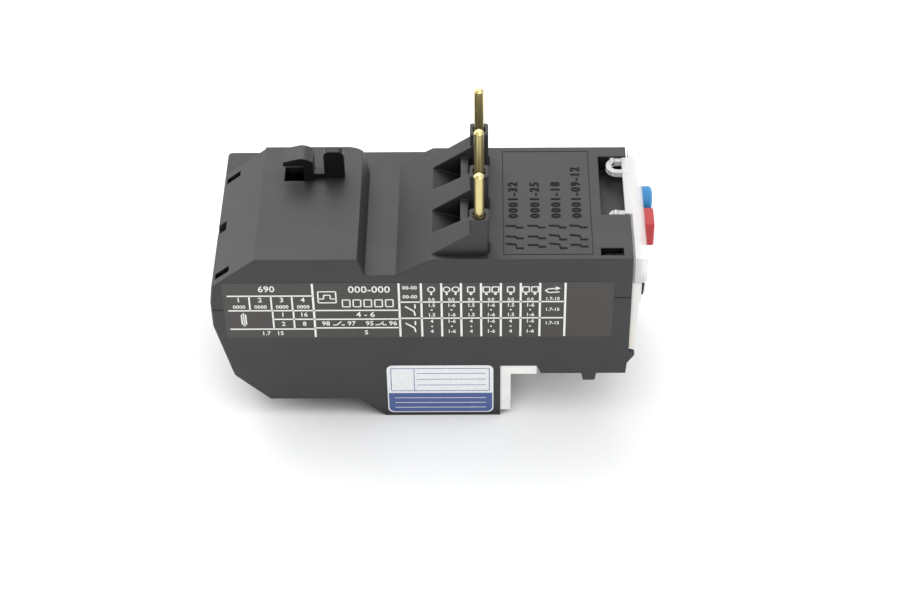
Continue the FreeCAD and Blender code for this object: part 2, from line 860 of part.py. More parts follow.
def hinge_arms():
    """Where the prong and the far leg of the bail lie along Y."""
    bail_end = y_bail + bail_width / 2
    return [(y_prong - prong_width / 2, y_prong + prong_width / 2), (bail_end - bail_bar, bail_end)]


def hinge_eyes():
    """The eyes of the cover's two outer arms round the hinge pins."""
    return [rod_y(y0, y1, x_hinge, z_hinge, hinge_eye_diameter) for y0, y1 in hinge_arms()]


def cover_web(z1):
    """The strip between the cover's arms that reaches back into the recess."""
    arms = hinge_arms()
    return box(x_front - cover_web_reach, x_cover_in, arms[0][0], arms[1][1], z1 - cover_wall, z1)


def clear_cover():
    """The hinged clear cover with its open slots for the buttons and the catch."""
    shell = box(x_front + cover_rear_gap, x_cover, y_cover_near, y_cover_far, z_cover_bottom, z_cover_top)
    shell = rounded(shell, edge_round, lambda edge: edge.BoundBox.XMin > x_cover - 1e-6)
    inside = box(x_front - wall, x_cover_in, y_cover_near + cover_wall, y_cover_far - cover_wall,
                 z_cover_bottom - wall, z_cover_top - cover_wall)
    z0 = z_hinge - arm_thickness / 2
    z1 = z_hinge + arm_thickness / 2
    arms = [bail(z0, z1), prong(z0, z1), cover_web(z_cover_top)] + hinge_eyes()
    slots = []
    for y, half, top in ((y_stop, stop_width / 2, z_stop + stop_height / 2),
                         (y_reset, reset_diameter / 2, z_reset + reset_diameter / 2)):
        side = half + 2 * loose_gap
        slots.append(box(x_cover_in - cover_gap, x_cover + wall, y - side, y + side,
                         z_cover_bottom - wall, top + 2 * loose_gap))
    slots.append(box(x_front, x_cover + wall, y_near - wall, y_catch_far + catch_gap,
                     z_cover_bottom - wall, z_catch_top + catch_gap))
    pin_hole = rod_y(y_near, y_far, x_hinge, z_hinge, hinge_diameter + 2 * fit_gap)
    return join([shell.cut([inside] + slots)] + arms).cut(pin_hole).removeSplitter()


def cover_hinge_pins():
    """The two short steel pins in the side walls of the recess."""
    near_arm, far_arm = hinge_arms()
    near = rod_y(y_recess_near - hinge_pin_seat, near_arm[1], x_hinge, z_hinge, hinge_diameter)
    far = rod_y(far_arm[0], y_recess_far + hinge_pin_seat, x_hinge, z_hinge, hinge_diameter)
    return Part.makeCompound([near, far])


def cover_catch():
    """The black wedge on the panel's near corner that holds the cover shut by its notch."""
    x0 = x_panel + catch_seat
    x1 = x0 + catch_reach
    return side_prism([(x0, z_catch), (x1 - catch_bevel, z_catch), (x1, z_catch_top - catch_bevel),
                       (x1 - catch_bevel, z_catch_top), (x0, z_catch_top)], y_panel_near, y_catch_far)


def contactor_hook():
    """The hook with its roofed head, its low bar and its rounded tab on one peg."""
    x_post_end = x_hook + hook_head_length
    under = z_top + hook_height - hook_head_drop
    eaves = z_top + hook_height - hook_roof_fall
    hook = side_prism([(x_hook_post, z_top), (x_hook_post, under), (x_hook, under), (x_hook, eaves),
                       (x_hook_post, z_top + hook_height), (x_post_end, eaves), (x_post_end, z_top)],
                      y_hook, y_hook + hook_depth)
    hook = rounded(hook, hook_ridge_round, lambda edge: edge.BoundBox.ZMin > eaves + hook_roof_fall / 2)
    hook = rounded(hook, hook_eaves_round, lambda edge: edge.BoundBox.XMin > x_post_end - 1e-6
                   and edge.BoundBox.ZMin > under)
    y1 = y_hook_tab + hook_tab_width
    bar = box(x_hook_post, x_hook_tab, y_hook_tab, y1, z_top, z_top + hook_bar_height)
    tab = box(x_hook_tab, x_hook_tab + hook_tab_length, y_hook_tab, y1, z_top, z_top + hook_tab_height)
    tab = rounded(tab, hook_tab_round, lambda edge: edge.BoundBox.ZMin > z_top + hook_bar_height
                  and edge.BoundBox.XLength < hook_tab_round)
    return join([hook, bar, tab, hook_peg()])


def plug_pin(pole):
    """A brass pin with a shoulder and a flat foot under the deck."""
    y = pin_y(pole)
    z_tip = z_chimney + fit_gap + pin_reach
    stem = rod_z(z_retainer, z_chimney + fit_gap, x_pin, y, pin_shoulder_diameter)
    end = Part.makeCone(pin_diameter / 2, pin_diameter / 2 - pin_tip_chamfer, pin_tip_chamfer,
                        V(x_pin, y, z_tip - pin_tip_chamfer))
    exposed = rod_z(z_chimney + fit_gap, z_tip - pin_tip_chamfer, x_pin, y, pin_diameter)
    foot = box(x_pin - pin_foot_width / 2, x_pin + pin_foot_width / 2,
               y - pin_foot_width / 2, y + pin_foot_reach,
               z_retainer, z_retainer + pin_foot_thickness)
    return join([stem, exposed, end, foot])


def pin_retainer():
    """The insulating plate under the feet of the pins."""
    y0 = pin_y(0) - pin_foot_width / 2 - pin_float
    y1 = pin_y(pole_count - 1) + pin_foot_reach + pin_float
    plate = box(x_pin_foot, x_pin_foot + retainer_width, y0, y1,
                z_retainer - retainer_thickness, z_retainer)
    holes = [retainer_screw_hole(pole, z_retainer - retainer_thickness, z_retainer)
             for pole in range(pole_count - 1)]
    return plate.cut(holes)


def retainer_screws():
    """The screws that hold the retainer to its bosses."""
    screws = []
    for pole in range(pole_count - 1):
        y = retainer_screw_y(pole)
        shank = rod_z(z_retainer - retainer_thickness, z_ceiling, x_pin, y, retainer_screw_diameter)
        head = rod_z(z_retainer - 2 * retainer_thickness, z_retainer - retainer_thickness, x_pin, y,
                     retainer_head_diameter)
        screws.append(join([shank, head]))
    return Part.makeCompound(screws)


def bimetal(pole):
    """A bimetal strip, fixed at the terminal and free in the trip bar."""
    y = pole_y(pole)
    return box(x_root - bimetal_length, x_root, y - bimetal_thickness / 2, y + bimetal_thickness / 2,
               z_bimetal_low, z_bimetal_high)


def sleeve_ring(pole, x0, x1, inner, thickness):
    """A rectangular tube round a bimetal strip."""
    y = pole_y(pole)
    half_y = bimetal_thickness / 2 + inner
    half_z = bimetal_height / 2 + inner
    outer = box(x0, x1, y - half_y - thickness, y + half_y + thickness,
                bimetal_axis_height - half_z - thickness, bimetal_axis_height + half_z + thickness)
    hole = box(x0, x1, y - half_y, y + half_y, bimetal_axis_height - half_z, bimetal_axis_height + half_z)
    return outer.cut(hole)


def heater_sleeve(pole):
    """The insulating sleeve between a strip and its heater."""
    x1 = x_root - sleeve_setback
    return sleeve_ring(pole, x1 - sleeve_length, x1, 0, sleeve_thickness)


def heater_winding(pole):
    """The heater tape wound round the sleeve, one slanted leg a turn."""
    y = pole_y(pole)
    half_y = bimetal_thickness / 2 + sleeve_thickness
    half_z = bimetal_height / 2 + sleeve_thickness
    low = bimetal_axis_height - half_z
    high = bimetal_axis_height + half_z
    pitch = sleeve_length / (heater_turns + 1)
    start = x_root - sleeve_setback - sleeve_length + pitch / 2
    pieces = []
    for turn in range(heater_turns):
        x0 = start + turn * pitch
        x1 = x0 + heater_wire
        far = box(x0, x1, y + half_y, y + half_y + heater_wire, low - heater_wire, high + heater_wire)
        under = box(x0, x1, y - half_y - heater_wire, y + half_y, low - heater_wire, low)
        over = box(x0 + pitch, x1 + pitch, y - half_y - heater_wire, y + half_y, high, high + heater_wire)
        if turn == heater_turns - 1:
            over = over.common(box(x0, x1 + pitch, y_near, y_far, low, high + heater_wire))
        near = side_prism([(x0, low - heater_wire), (x1, low - heater_wire), (x1, low), (x1 + pitch, high),
                           (x1 + pitch, high + heater_wire), (x0 + pitch, high + heater_wire),
                           (x0 + pitch, high), (x0, low)], y - half_y - heater_wire, y - half_y)
        pieces += [far, under, near, over]
    return join(pieces)


def heater_lead(pole):
    """The copper strip from a pin's foot back to the front turn of its heater."""
    half = lead_width / 2
    y0 = pin_y(pole)
    y1 = pole_y(pole)
    x_end = x_root - sleeve_setback - sleeve_length / (heater_turns + 1) / 2
    x_back = x_end - lead_width
    z_run = z_bimetal_high + wall + lead_rise
    z_end = z_bimetal_high + sleeve_thickness + heater_wire
    tongue = box(x_pin_foot - lead_thickness, x_pin_foot, y0 - half, y0 + half,
                 z_run, z_retainer + pin_foot_thickness)
    run = plan_prism([(x_pin_foot, y0 - half), (x_pin_foot, y0 + half), (x_end, y1 + half),
                      (x_back, y1 + half), (x_back, y1 - half), (x_end, y1 - half)],
                     z_run, z_run + lead_thickness)
    tail = box(x_back, x_back + lead_thickness, y1 - half, y1 + half, z_end, z_run)
    return join([tongue, run, tail])


def terminal_bar(pole):
    """The copper bar from the foot's pocket up to the strip's root."""
    y = pole_y(pole)
    x1 = x_pocket_back + bar_thickness
    low = box(x_pocket_back, x1, y - bar_width / 2, y + bar_width / 2, bar_foot_height, overhang_height)
    neck = box(x_pocket_back, x1, y - bar_neck_width / 2, y + bar_neck_width / 2,
               overhang_height, z_bimetal_high + wall)
    hole = rod_x(x_pocket_back, x1, y, terminal_axis_height, main_screw_diameter + 2 * fit_gap)
    return join([low, neck]).cut(hole)


def clamp_screw(x_plate, y, z, shank, head, head_height, washer, thickness, tail):
    """A terminal screw with its captive square washer."""
    x_head = x_plate + thickness
    screw = join([rod_x(x_plate - tail, x_head, y, z, shank),
                  rod_x(x_head, x_head + head_height, y, z, head)])
    slot = box(x_head + head_height - screw_slot_depth, x_head + head_height, y - head / 2, y + head / 2,
               z - screw_slot_width / 2, z + screw_slot_width / 2)
    plate = box(x_plate, x_head, y - washer / 2, y + washer / 2, z - washer / 2, z + washer / 2)
    plate = plate.makeChamfer(washer_bevel, [edge for edge in plate.Edges if along_x(edge)])
    plate = plate.cut(rod_x(x_plate, x_head, y, z, shank + 2 * fit_gap))
    return Part.makeCompound([screw.cut(slot), plate])


def terminal_screw(pole):
    """A main terminal's screw and clamp plate."""
    x_plate = x_pocket_back + bar_thickness + clamp_lift
    return clamp_screw(x_plate, pole_y(pole), terminal_axis_height, main_screw_diameter, main_head_diameter,
                       main_head_height, clamp_size, clamp_thickness, bar_thickness + clamp_lift + wall)


def aux_screw(number):
    """An auxiliary terminal's screw and washer."""
    x_plate = x_aux_back + aux_plate_thickness + aux_lift
    return clamp_screw(x_plate, aux_y(number), z_aux_axis, aux_screw_diameter, aux_head_diameter,
                       aux_head_height, aux_washer_size, aux_washer_thickness,
                       aux_plate_thickness + aux_lift + wall / 2)


def trip_bar():
    """The bar that the free ends of the three strips push."""
    y0 = pole_y(0) - trip_bar_end_inset / 2
    y1 = y_lever_face - loose_gap
    half = trip_bar_thickness / 2
    bar = box(x_trip_bar - half, x_trip_bar + half, y0, y1, z_trip_bar, z_trip_bar + trip_bar_height)
    notches = [box(x_trip_bar - half, x_trip_bar + half,
                   pole_y(pole) - bimetal_thickness / 2 - loose_gap,
                   pole_y(pole) + bimetal_thickness / 2 + loose_gap,
                   z_trip_bar, z_bimetal_high + loose_gap) for pole in range(pole_count)]
    return bar.cut(notches)


def trip_lever():
    """The compensating strip from the trip bar to the contact carriage."""
    half = lever_height / 2
    strip = box(x_trip_bar - trip_bar_thickness / 2, x_carriage + carriage_depth / 2,
                y_lever_face, y_lever_face + lever_thickness,
                bimetal_axis_height - half, bimetal_axis_height + half)
    hub = rod_z(z_lever_hub, z_lever_hub + lever_hub_height, x_pivot, y_lever, lever_hub_diameter)
    bore = rod_z(z_lever_hub, z_lever_hub + lever_hub_height, x_pivot, y_lever, pivot_diameter + 2 * fit_gap)
    return join([strip, hub]).cut(bore)


def contact_carriage():
    """The insulating carriage with a slot for each contact bridge."""
    half = carriage_depth / 2
    body = box(x_carriage - half, x_carriage + half, -carriage_near_reach, y_lever_face - loose_gap,
               z_carriage - carriage_height / 2, z_carriage + carriage_height / 2)
    slots = [box(x_carriage, x_carriage + half, y - blade_thickness / 2, y + blade_thickness / 2,
                 z_carriage - carriage_height / 2, z_carriage + carriage_height / 2)
             for y in (-blade_spread, blade_spread)]
    return body.cut(slots)


def contact_z(level):
    """Height of the lower (-1) or upper (1) contact of a bridge."""
    return z_carriage + level * carriage_height / 4


def contact_bridge(side):
    """A spring blade with two contact rivets on its outer face."""
    y = side * blade_spread
    blade = box(x_carriage, x_blade_tip, y - blade_thickness / 2, y + blade_thickness / 2,
                z_carriage - carriage_height / 2, z_carriage + carriage_height / 2)
    x = x_blade_tip - contact_diameter
    y0 = y + blade_thickness / 2 if side > 0 else y - blade_thickness / 2 - contact_height
    rivets = [rod_y(y0, y0 + contact_height, x, contact_z(level), contact_diameter) for level in (-1, 1)]
    return join([blade] + rivets)


def fixed_contact(number):
    """An auxiliary plate with the arm that meets a contact bridge."""
    side = 1 if number >= aux_count / 2 else -1
    inner = number in (aux_count // 2 - 1, aux_count // 2)
    level = -1 if inner else 1
    y = aux_y(number)
    gap = fit_gap if side > 0 else trip_travel + fit_gap
    face = side * (blade_spread + blade_thickness / 2 + contact_height + gap)
    arm_y = sorted((face, face + side * fixed_arm_thickness))
    z0 = contact_z(level) - fixed_arm_height / 2
    z1 = contact_z(level) + fixed_arm_height / 2
    x1 = x_aux_back + aux_plate_thickness
    y0 = y - aux_plate_width / 2
    y1 = y + aux_plate_width / 2
    plate = box(x_aux_back, x1, y0, y1, front_floor_height + aux_plate_foot_rise, z_mech_floor)
    riser = box(x_aux_back, x1, y0, y1, z_mech_floor, z1)
    arm = box(x_blade_tip - fixed_arm_overlap, x1, arm_y[0], arm_y[1], z0, z1)
    bridge = box(x_aux_back, x1, min(y0, arm_y[0]), max(y1, arm_y[1]), z0, z1)
    hole = rod_x(x_aux_back, x1, y, z_aux_axis, aux_screw_diameter + 2 * fit_gap)
    return join([plate, riser, bridge, arm]).cut(hole)


def setting_dial():
    """The slotted dial on its shaft."""
    disc = rod_x(x_front + fit_gap, x_panel, y_dial, z_dial, dial_diameter)
    shaft = rod_x(x_front - dial_boss_length - cam_thickness - fit_gap, x_front + fit_gap,
                  y_dial, z_dial, dial_shaft_diameter)
    slot = box(x_panel - dial_slot_depth, x_panel,
               y_dial - dial_slot_length / 2, y_dial + dial_slot_length / 2,
               z_dial - dial_slot_width / 2, z_dial + dial_slot_width / 2)
    return join([disc, shaft]).cut(slot)


def dial_cam():
    """The eccentric cam on the rear end of the dial's shaft."""
    x1 = x_front - dial_boss_length - fit_gap
    cam = rod_x(x1 - cam_thickness, x1, y_dial, z_dial + cam_offset, cam_diameter)
    return cam.cut(rod_x(x1 - cam_thickness, x1, y_dial, z_dial, dial_shaft_diameter))


def stop_button():
    """The red button with its flange and stem."""
    head = box(x_flange, x_tip, y_stop - stop_width / 2, y_stop + stop_width / 2,
               z_stop - stop_height / 2, z_stop + stop_height / 2)
    head = rounded(head, stop_round, lambda edge: edge.BoundBox.XMin > x_tip - 1e-6 or along_x(edge))
    rim = button_flange_rim
    flange = box(x_flange, x_flange + button_flange_thickness,
                 y_stop - stop_width / 2 - rim, y_stop + stop_width / 2 + rim,
                 z_stop - stop_height / 2 - rim, z_stop + stop_height / 2 + rim)
    stem = rod_x(x_stem_end, x_flange, y_stop, z_stop, stem_diameter)
    return join([head, flange, stem])


def reset_plunger():
    """The stem that the reset knob turns on and pushes."""
    stem = rod_x(x_stem_end, x_flange, y_reset, z_reset, stem_diameter)
    flange = rod_x(x_flange, x_flange + button_flange_thickness, y_reset, z_reset,
                   reset_diameter + 2 * button_flange_rim)
    spigot = rod_x(x_flange, x_flange + button_flange_thickness + spigot_length, y_reset, z_reset,
                   spigot_diameter)
    return join([stem, flange, spigot])


def reset_knob():
    """The blue knob with its screwdriver slot."""
    x0 = x_flange + button_flange_thickness + fit_gap
    x1 = x_tip - reset_setback
    body = rod_x(x0, x1, y_reset, z_reset, reset_diameter)
    body = body.makeChamfer(stop_round, [edge for edge in body.Edges if edge.BoundBox.XMin > x1 - stop_round])
    bore = rod_x(x0, x0 + spigot_length + fit_gap, y_reset, z_reset, spigot_diameter + 2 * fit_gap)
    slot = box(x1 - reset_slot_depth, x1, y_reset - reset_diameter / 2, y_reset + reset_diameter / 2,
               z_reset - reset_slot_width / 2, z_reset + reset_slot_width / 2)
    return body.cut([bore, slot])


def return_spring(y, z):
    """A coil spring between the guide rib and a button's flange."""
    radius = stem_diameter / 2 + spring_wire
    rise = (spring_length - 2 * spring_wire) / (spring_turns * spring_steps)
    x0 = x_guide + spring_wire
    path = []
    for step in range(spring_turns * spring_steps + 1):
        angle = 2 * math.pi * step / spring_steps
        path.append(V(x0 + step * rise, y + radius * math.cos(angle), z + radius * math.sin(angle)))
    section = []
    for corner in range(spring_sides):
        angle = 2 * math.pi * corner / spring_sides
        section.append(path[0] + V(math.cos(angle), math.sin(angle), 0) * (spring_wire / 2))
    return Part.makePolygon(path).makePipeShell([outline(section)], True, True, 1)


def pieces():
    """Every piece by its node's name."""
    named = {
        "upper_housing": upper_housing(),
        "lower_housing": lower_housing(),
        "terminal_shroud": terminal_shroud(),
        "front_panel": front_panel(),
        "clear_cover": clear_cover(),
        "cover_hinge_pins": cover_hinge_pins(),
        "cover_catch": cover_catch(),
        "contactor_hook": contactor_hook(),
        "pin_retainer": pin_retainer(),
        "retainer_screws": retainer_screws(),
        "trip_bar": trip_bar(),
        "trip_lever": trip_lever(),
        "lever_pivot": lever_pivot(),
        "contact_carriage": contact_carriage(),
        "closed_contact_bridge": contact_bridge(1),
        "open_contact_bridge": contact_bridge(-1),
        "setting_dial": setting_dial(),
        "dial_cam": dial_cam(),
        "stop_button": stop_button(),
        "stop_spring": return_spring(y_stop, z_stop),
        "reset_knob": reset_knob(),
        "reset_plunger": reset_plunger(),
        "reset_spring": return_spring(y_reset, z_reset),
    }
    for pole in range(pole_count):
        number = pole + 1
        named[f"plug_pin_{number}"] = plug_pin(pole)
        named[f"bimetal_{number}"] = bimetal(pole)
        named[f"heater_sleeve_{number}"] = heater_sleeve(pole)
        named[f"heater_winding_{number}"] = heater_winding(pole)
        named[f"heater_lead_{number}"] = heater_lead(pole)
        named[f"terminal_bar_{number}"] = terminal_bar(pole)
        named[f"terminal_screw_{number}"] = terminal_screw(pole)
    for number in range(aux_count):
        named[f"aux_contact_{number + 1}"] = fixed_contact(number)
        named[f"aux_screw_{number + 1}"] = aux_screw(number)
    return named


def main():
    """Write each piece to its own file."""
    os.makedirs("parts", exist_ok=True)
    for name, shape in pieces().items():
        shape.exportStep(f"parts/{name}.step")


if __name__ == "__main__":
    main()
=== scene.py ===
import logging
import math
from dataclasses import dataclass, field
from enum import Enum
from functools import cache
from typing import Any, Iterable, Optional, Sequence, Union

import bmesh
import bpy
from mathutils import Matrix, Vector


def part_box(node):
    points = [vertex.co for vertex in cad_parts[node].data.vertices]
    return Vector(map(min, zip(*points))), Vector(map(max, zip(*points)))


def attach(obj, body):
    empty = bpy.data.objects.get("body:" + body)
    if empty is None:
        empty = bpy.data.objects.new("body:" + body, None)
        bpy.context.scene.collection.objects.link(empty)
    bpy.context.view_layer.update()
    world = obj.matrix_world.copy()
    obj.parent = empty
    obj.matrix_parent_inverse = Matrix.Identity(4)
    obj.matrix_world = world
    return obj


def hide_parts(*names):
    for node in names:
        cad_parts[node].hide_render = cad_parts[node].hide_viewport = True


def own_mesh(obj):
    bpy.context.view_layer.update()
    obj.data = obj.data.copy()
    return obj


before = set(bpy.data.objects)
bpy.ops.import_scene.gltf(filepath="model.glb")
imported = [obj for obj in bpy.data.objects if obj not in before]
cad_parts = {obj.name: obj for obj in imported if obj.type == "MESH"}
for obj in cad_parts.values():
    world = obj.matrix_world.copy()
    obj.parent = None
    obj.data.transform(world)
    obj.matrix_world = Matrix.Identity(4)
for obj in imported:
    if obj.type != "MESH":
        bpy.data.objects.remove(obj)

MM = 0.001
LOG = logging.getLogger("overload_relay")
Triple = tuple[float, float, float]
Colour = Triple
Rgba = tuple[float, float, float, float]
Point = tuple[float, float]
FORWARD, ACROSS, UP = Vector((1, 0, 0)), Vector((0, 1, 0)), Vector((0, 0, 1))
POLES = range(1, 4)
TERMINALS = range(1, 5)


class Body(Enum):
    """Moving bodies that visual pieces ride on."""

    HOUSING = "housing"
    STOP = "stop"
    PLUG_1 = "plug_1"
    PLUG_2 = "plug_2"
    PLUG_3 = "plug_3"


class Slot(Enum):
    """Material slots of the record."""

    HOUSING_BLACK = "housing_black"
    SHROUD_WHITE = "shroud_white"
    PANEL_CREAM = "panel_cream"
    KNOB_BLUE = "knob_blue"
    STEEL = "steel"


class Align(Enum):
    """How a line of figures sits on its anchor."""

    LEFT = "LEFT"
    CENTRE = "CENTER"


@dataclass(frozen=True)
class Signal:
    """A shader socket that can be added, multiplied and divided.

    Args:
        graph: the graph that the socket belongs to.
        socket: the socket itself.
    """

    graph: "ShaderGraph"
    socket: bpy.types.NodeSocket

    def _math(self, operation: str, first: Any, second: Any) -> "Signal":
        """One step of arithmetic."""
        inputs = {0: first, 1: second}
        return self.graph.signal("ShaderNodeMath", 0, inputs, operation=operation)

    def __add__(self, other: Any) -> "Signal":
        """Sum with another value."""
        return self._math("ADD", self, other)

    def __radd__(self, other: Any) -> "Signal":
        """Sum with a value on the left."""
        return self._math("ADD", other, self)

    def __sub__(self, other: Any) -> "Signal":
        """Difference with another value."""
        return self._math("SUBTRACT", self, other)

    def __rsub__(self, other: Any) -> "Signal":
        """Difference with a value on the left."""
        return self._math("SUBTRACT", other, self)

    def __mul__(self, other: Any) -> "Signal":
        """Product with another value."""
        return self._math("MULTIPLY", self, other)

    def __truediv__(self, other: Any) -> "Signal":
        """Quotient with another value."""
        return self._math("DIVIDE", self, other)

    def clamp(self) -> "Signal":
        """This signal held between zero and one."""
        return self.graph.signal("ShaderNodeClamp", 0, {"Value": self})

    def spread(self, span: Point) -> "Signal":
        """This signal stretched so that the ends of a span become zero and one."""
        low, high = span
        return ((self - low) / (high - low)).clamp()

    def swing(self, width: float) -> "Signal":
        """This signal, from zero to one, as a swing about zero."""
        return (self - 0.5) * width


class ShaderGraph:
    """A node graph that starts empty."""

    def __init__(self, tree: bpy.types.NodeTree) -> None:
        """Clear the tree."""
        self.tree = tree
        self.tree.nodes.clear()

    def node(self, kind: str, inputs: dict[Any, Any], **settings: Any) -> bpy.types.Node:
        """Add a node.

        Args:
            kind: the node's type.
            inputs: input names or numbers with a value or a signal each.
            settings: properties of the node.

        Returns:
            The new node.
        """
        made = self.tree.nodes.new(kind)
        for key, value in settings.items():
            setattr(made, key, value)
        for key, value in inputs.items():
            if isinstance(value, Signal):
                self.tree.links.new(value.socket, made.inputs[key])
            else:
                made.inputs[key].default_value = value
        return made

    def signal(self, kind: str, output: Any, inputs: dict[Any, Any], **settings: Any) -> Signal:
        """Add a node and take one output of it."""
        return Signal(self, self.node(kind, inputs, **settings).outputs[output])


@dataclass(frozen=True)
class Noise:
    """Soft noise from zero to one.

    Args:
        scale: patches per metre.
        detail: octaves of finer noise.
        span: values that become zero and one, where the noise is stretched.
        stretch: further scale along each axis, where the patches are long.
    """

    scale: float
    detail: float
    span: Optional[Point] = None
    stretch: Optional[Triple] = None


class FinishGraph(ShaderGraph):
    """The node graph of one finish."""

    NOISE_ROUGHNESS = 0.55
    EDGE_GAIN = 6.0
    BEVEL_SAMPLES = 4
    CORNER_SAMPLES = 6

    def __init__(self, name: str) -> None:
        """Start an empty material.

        Args:
            name: the finish's name.
        """
        self.material = bpy.data.materials.new(name)
        self.material.use_nodes = True
        super().__init__(self.material.node_tree)

    def place(self) -> Signal:
        """Position on the piece in metres, fixed to the piece."""
        return self.signal("ShaderNodeTexCoord", "Object", {})

    def along(self, axis: str) -> Signal:
        """One coordinate of the place, in metres."""
        return self.signal("ShaderNodeSeparateXYZ", axis, {0: self.place()})

    def cloud(self, noise: Noise) -> Signal:
        """Soft noise from zero to one.

        Args:
            noise: its patches.

        Returns:
            The noise.
        """
        place = self.place()
        if noise.stretch is not None:
            place = self.signal("ShaderNodeVectorMath", 0, {0: place, 1: noise.stretch},
                                operation="MULTIPLY")
        inputs = {"Vector": place, "Scale": noise.scale, "Detail": noise.detail,
                  "Roughness": self.NOISE_ROUGHNESS}
        cloud = self.signal("ShaderNodeTexNoise", 0, inputs)
        return cloud if noise.span is None else cloud.spread(noise.span)

    def cells(self, scale: float) -> Signal:
        """Distance to scattered points, in cells, with a scale in points per metre."""
        inputs = {"Vector": self.place(), "Scale": scale}
        return self.signal("ShaderNodeTexVoronoi", "Distance", inputs)

    def blend(self, factor: Any, first: Any, second: Any) -> Signal:
        """A colour between two colours or signals, the first at zero and the second at one."""
        one, two = [side if isinstance(side, Signal) else (*side, 1.0) for side in (first, second)]
        return self.signal("ShaderNodeMix", 2, {0: factor, 6: one, 7: two}, data_type="RGBA")

    def dot(self, first: Any, second: Any) -> Signal:
        """How far two directions agree: one where they are the same, zero where square."""
        inputs = {0: first, 1: second}
        return self.signal("ShaderNodeVectorMath", "Value", inputs, operation="DOT_PRODUCT")

    def soft_edges(self, radius: float) -> Signal:
        """A normal that rounds the sharp edges, with a radius in metres."""
        return self.signal("ShaderNodeBevel", 0, {"Radius": radius}, samples=self.BEVEL_SAMPLES)

    def true_normal(self) -> Signal:
        """The direction that the surface looks along."""
        return self.signal("ShaderNodeNewGeometry", "True Normal", {})

    def edges(self, rounded: Signal) -> Signal:
        """Where a rounded normal turns, from zero on flats to one on sharp edges."""
        return ((1.0 - self.dot(rounded, self.true_normal())) * self.EDGE_GAIN).clamp()

    def corners(self, reach: float) -> Signal:
        """How far walls within a reach in metres close the surface in, from zero in the open."""
        return 1.0 - self.signal("ShaderNodeAmbientOcclusion", "AO", {"Distance": reach},
                                 samples=self.CORNER_SAMPLES)

    def relief(self, height: Signal, strength: float, distance: float,
               normal: Optional[Signal] = None) -> Signal:
        """A normal with a bumpy surface.

        Args:
            height: the bumps from zero to one.
            strength: how strong the bumps look.
            distance: height of a full bump in metres.
            normal: normal to start from.

        Returns:
            The normal.
        """
        inputs: dict[Any, Any] = {"Height": height, "Strength": strength, "Distance": distance}
        if normal is not None:
            inputs["Normal"] = normal
        return self.signal("ShaderNodeBump", 0, inputs)

    def surface(self, **inputs: Any) -> Signal:
        """The main shader, its inputs written with _ for each space."""
        named = {name.replace("_", " "): value for name, value in inputs.items()}
        return self.signal("ShaderNodeBsdfPrincipled", 0, named)


def shade(colour: Colour, factor: float) -> Colour:
    """A colour made lighter or darker by a factor."""
    return tuple(min(1.0, part * factor) for part in colour)


@dataclass(frozen=True)
class Finish:
    """What every finish has.

    Args:
        name: its name.
        colour: its colour.
    """

    name: str
    colour: Colour

    def make(self) -> bpy.types.Material:
        """Build the material.

        Returns:
            The material.
        """
        graph = FinishGraph(self.name)
        graph.node("ShaderNodeOutputMaterial", {0: self.shader(graph)})
        return graph.material

    def shader(self, graph: FinishGraph) -> Signal:
        """Fill the graph of the finish."""
        raise NotImplementedError


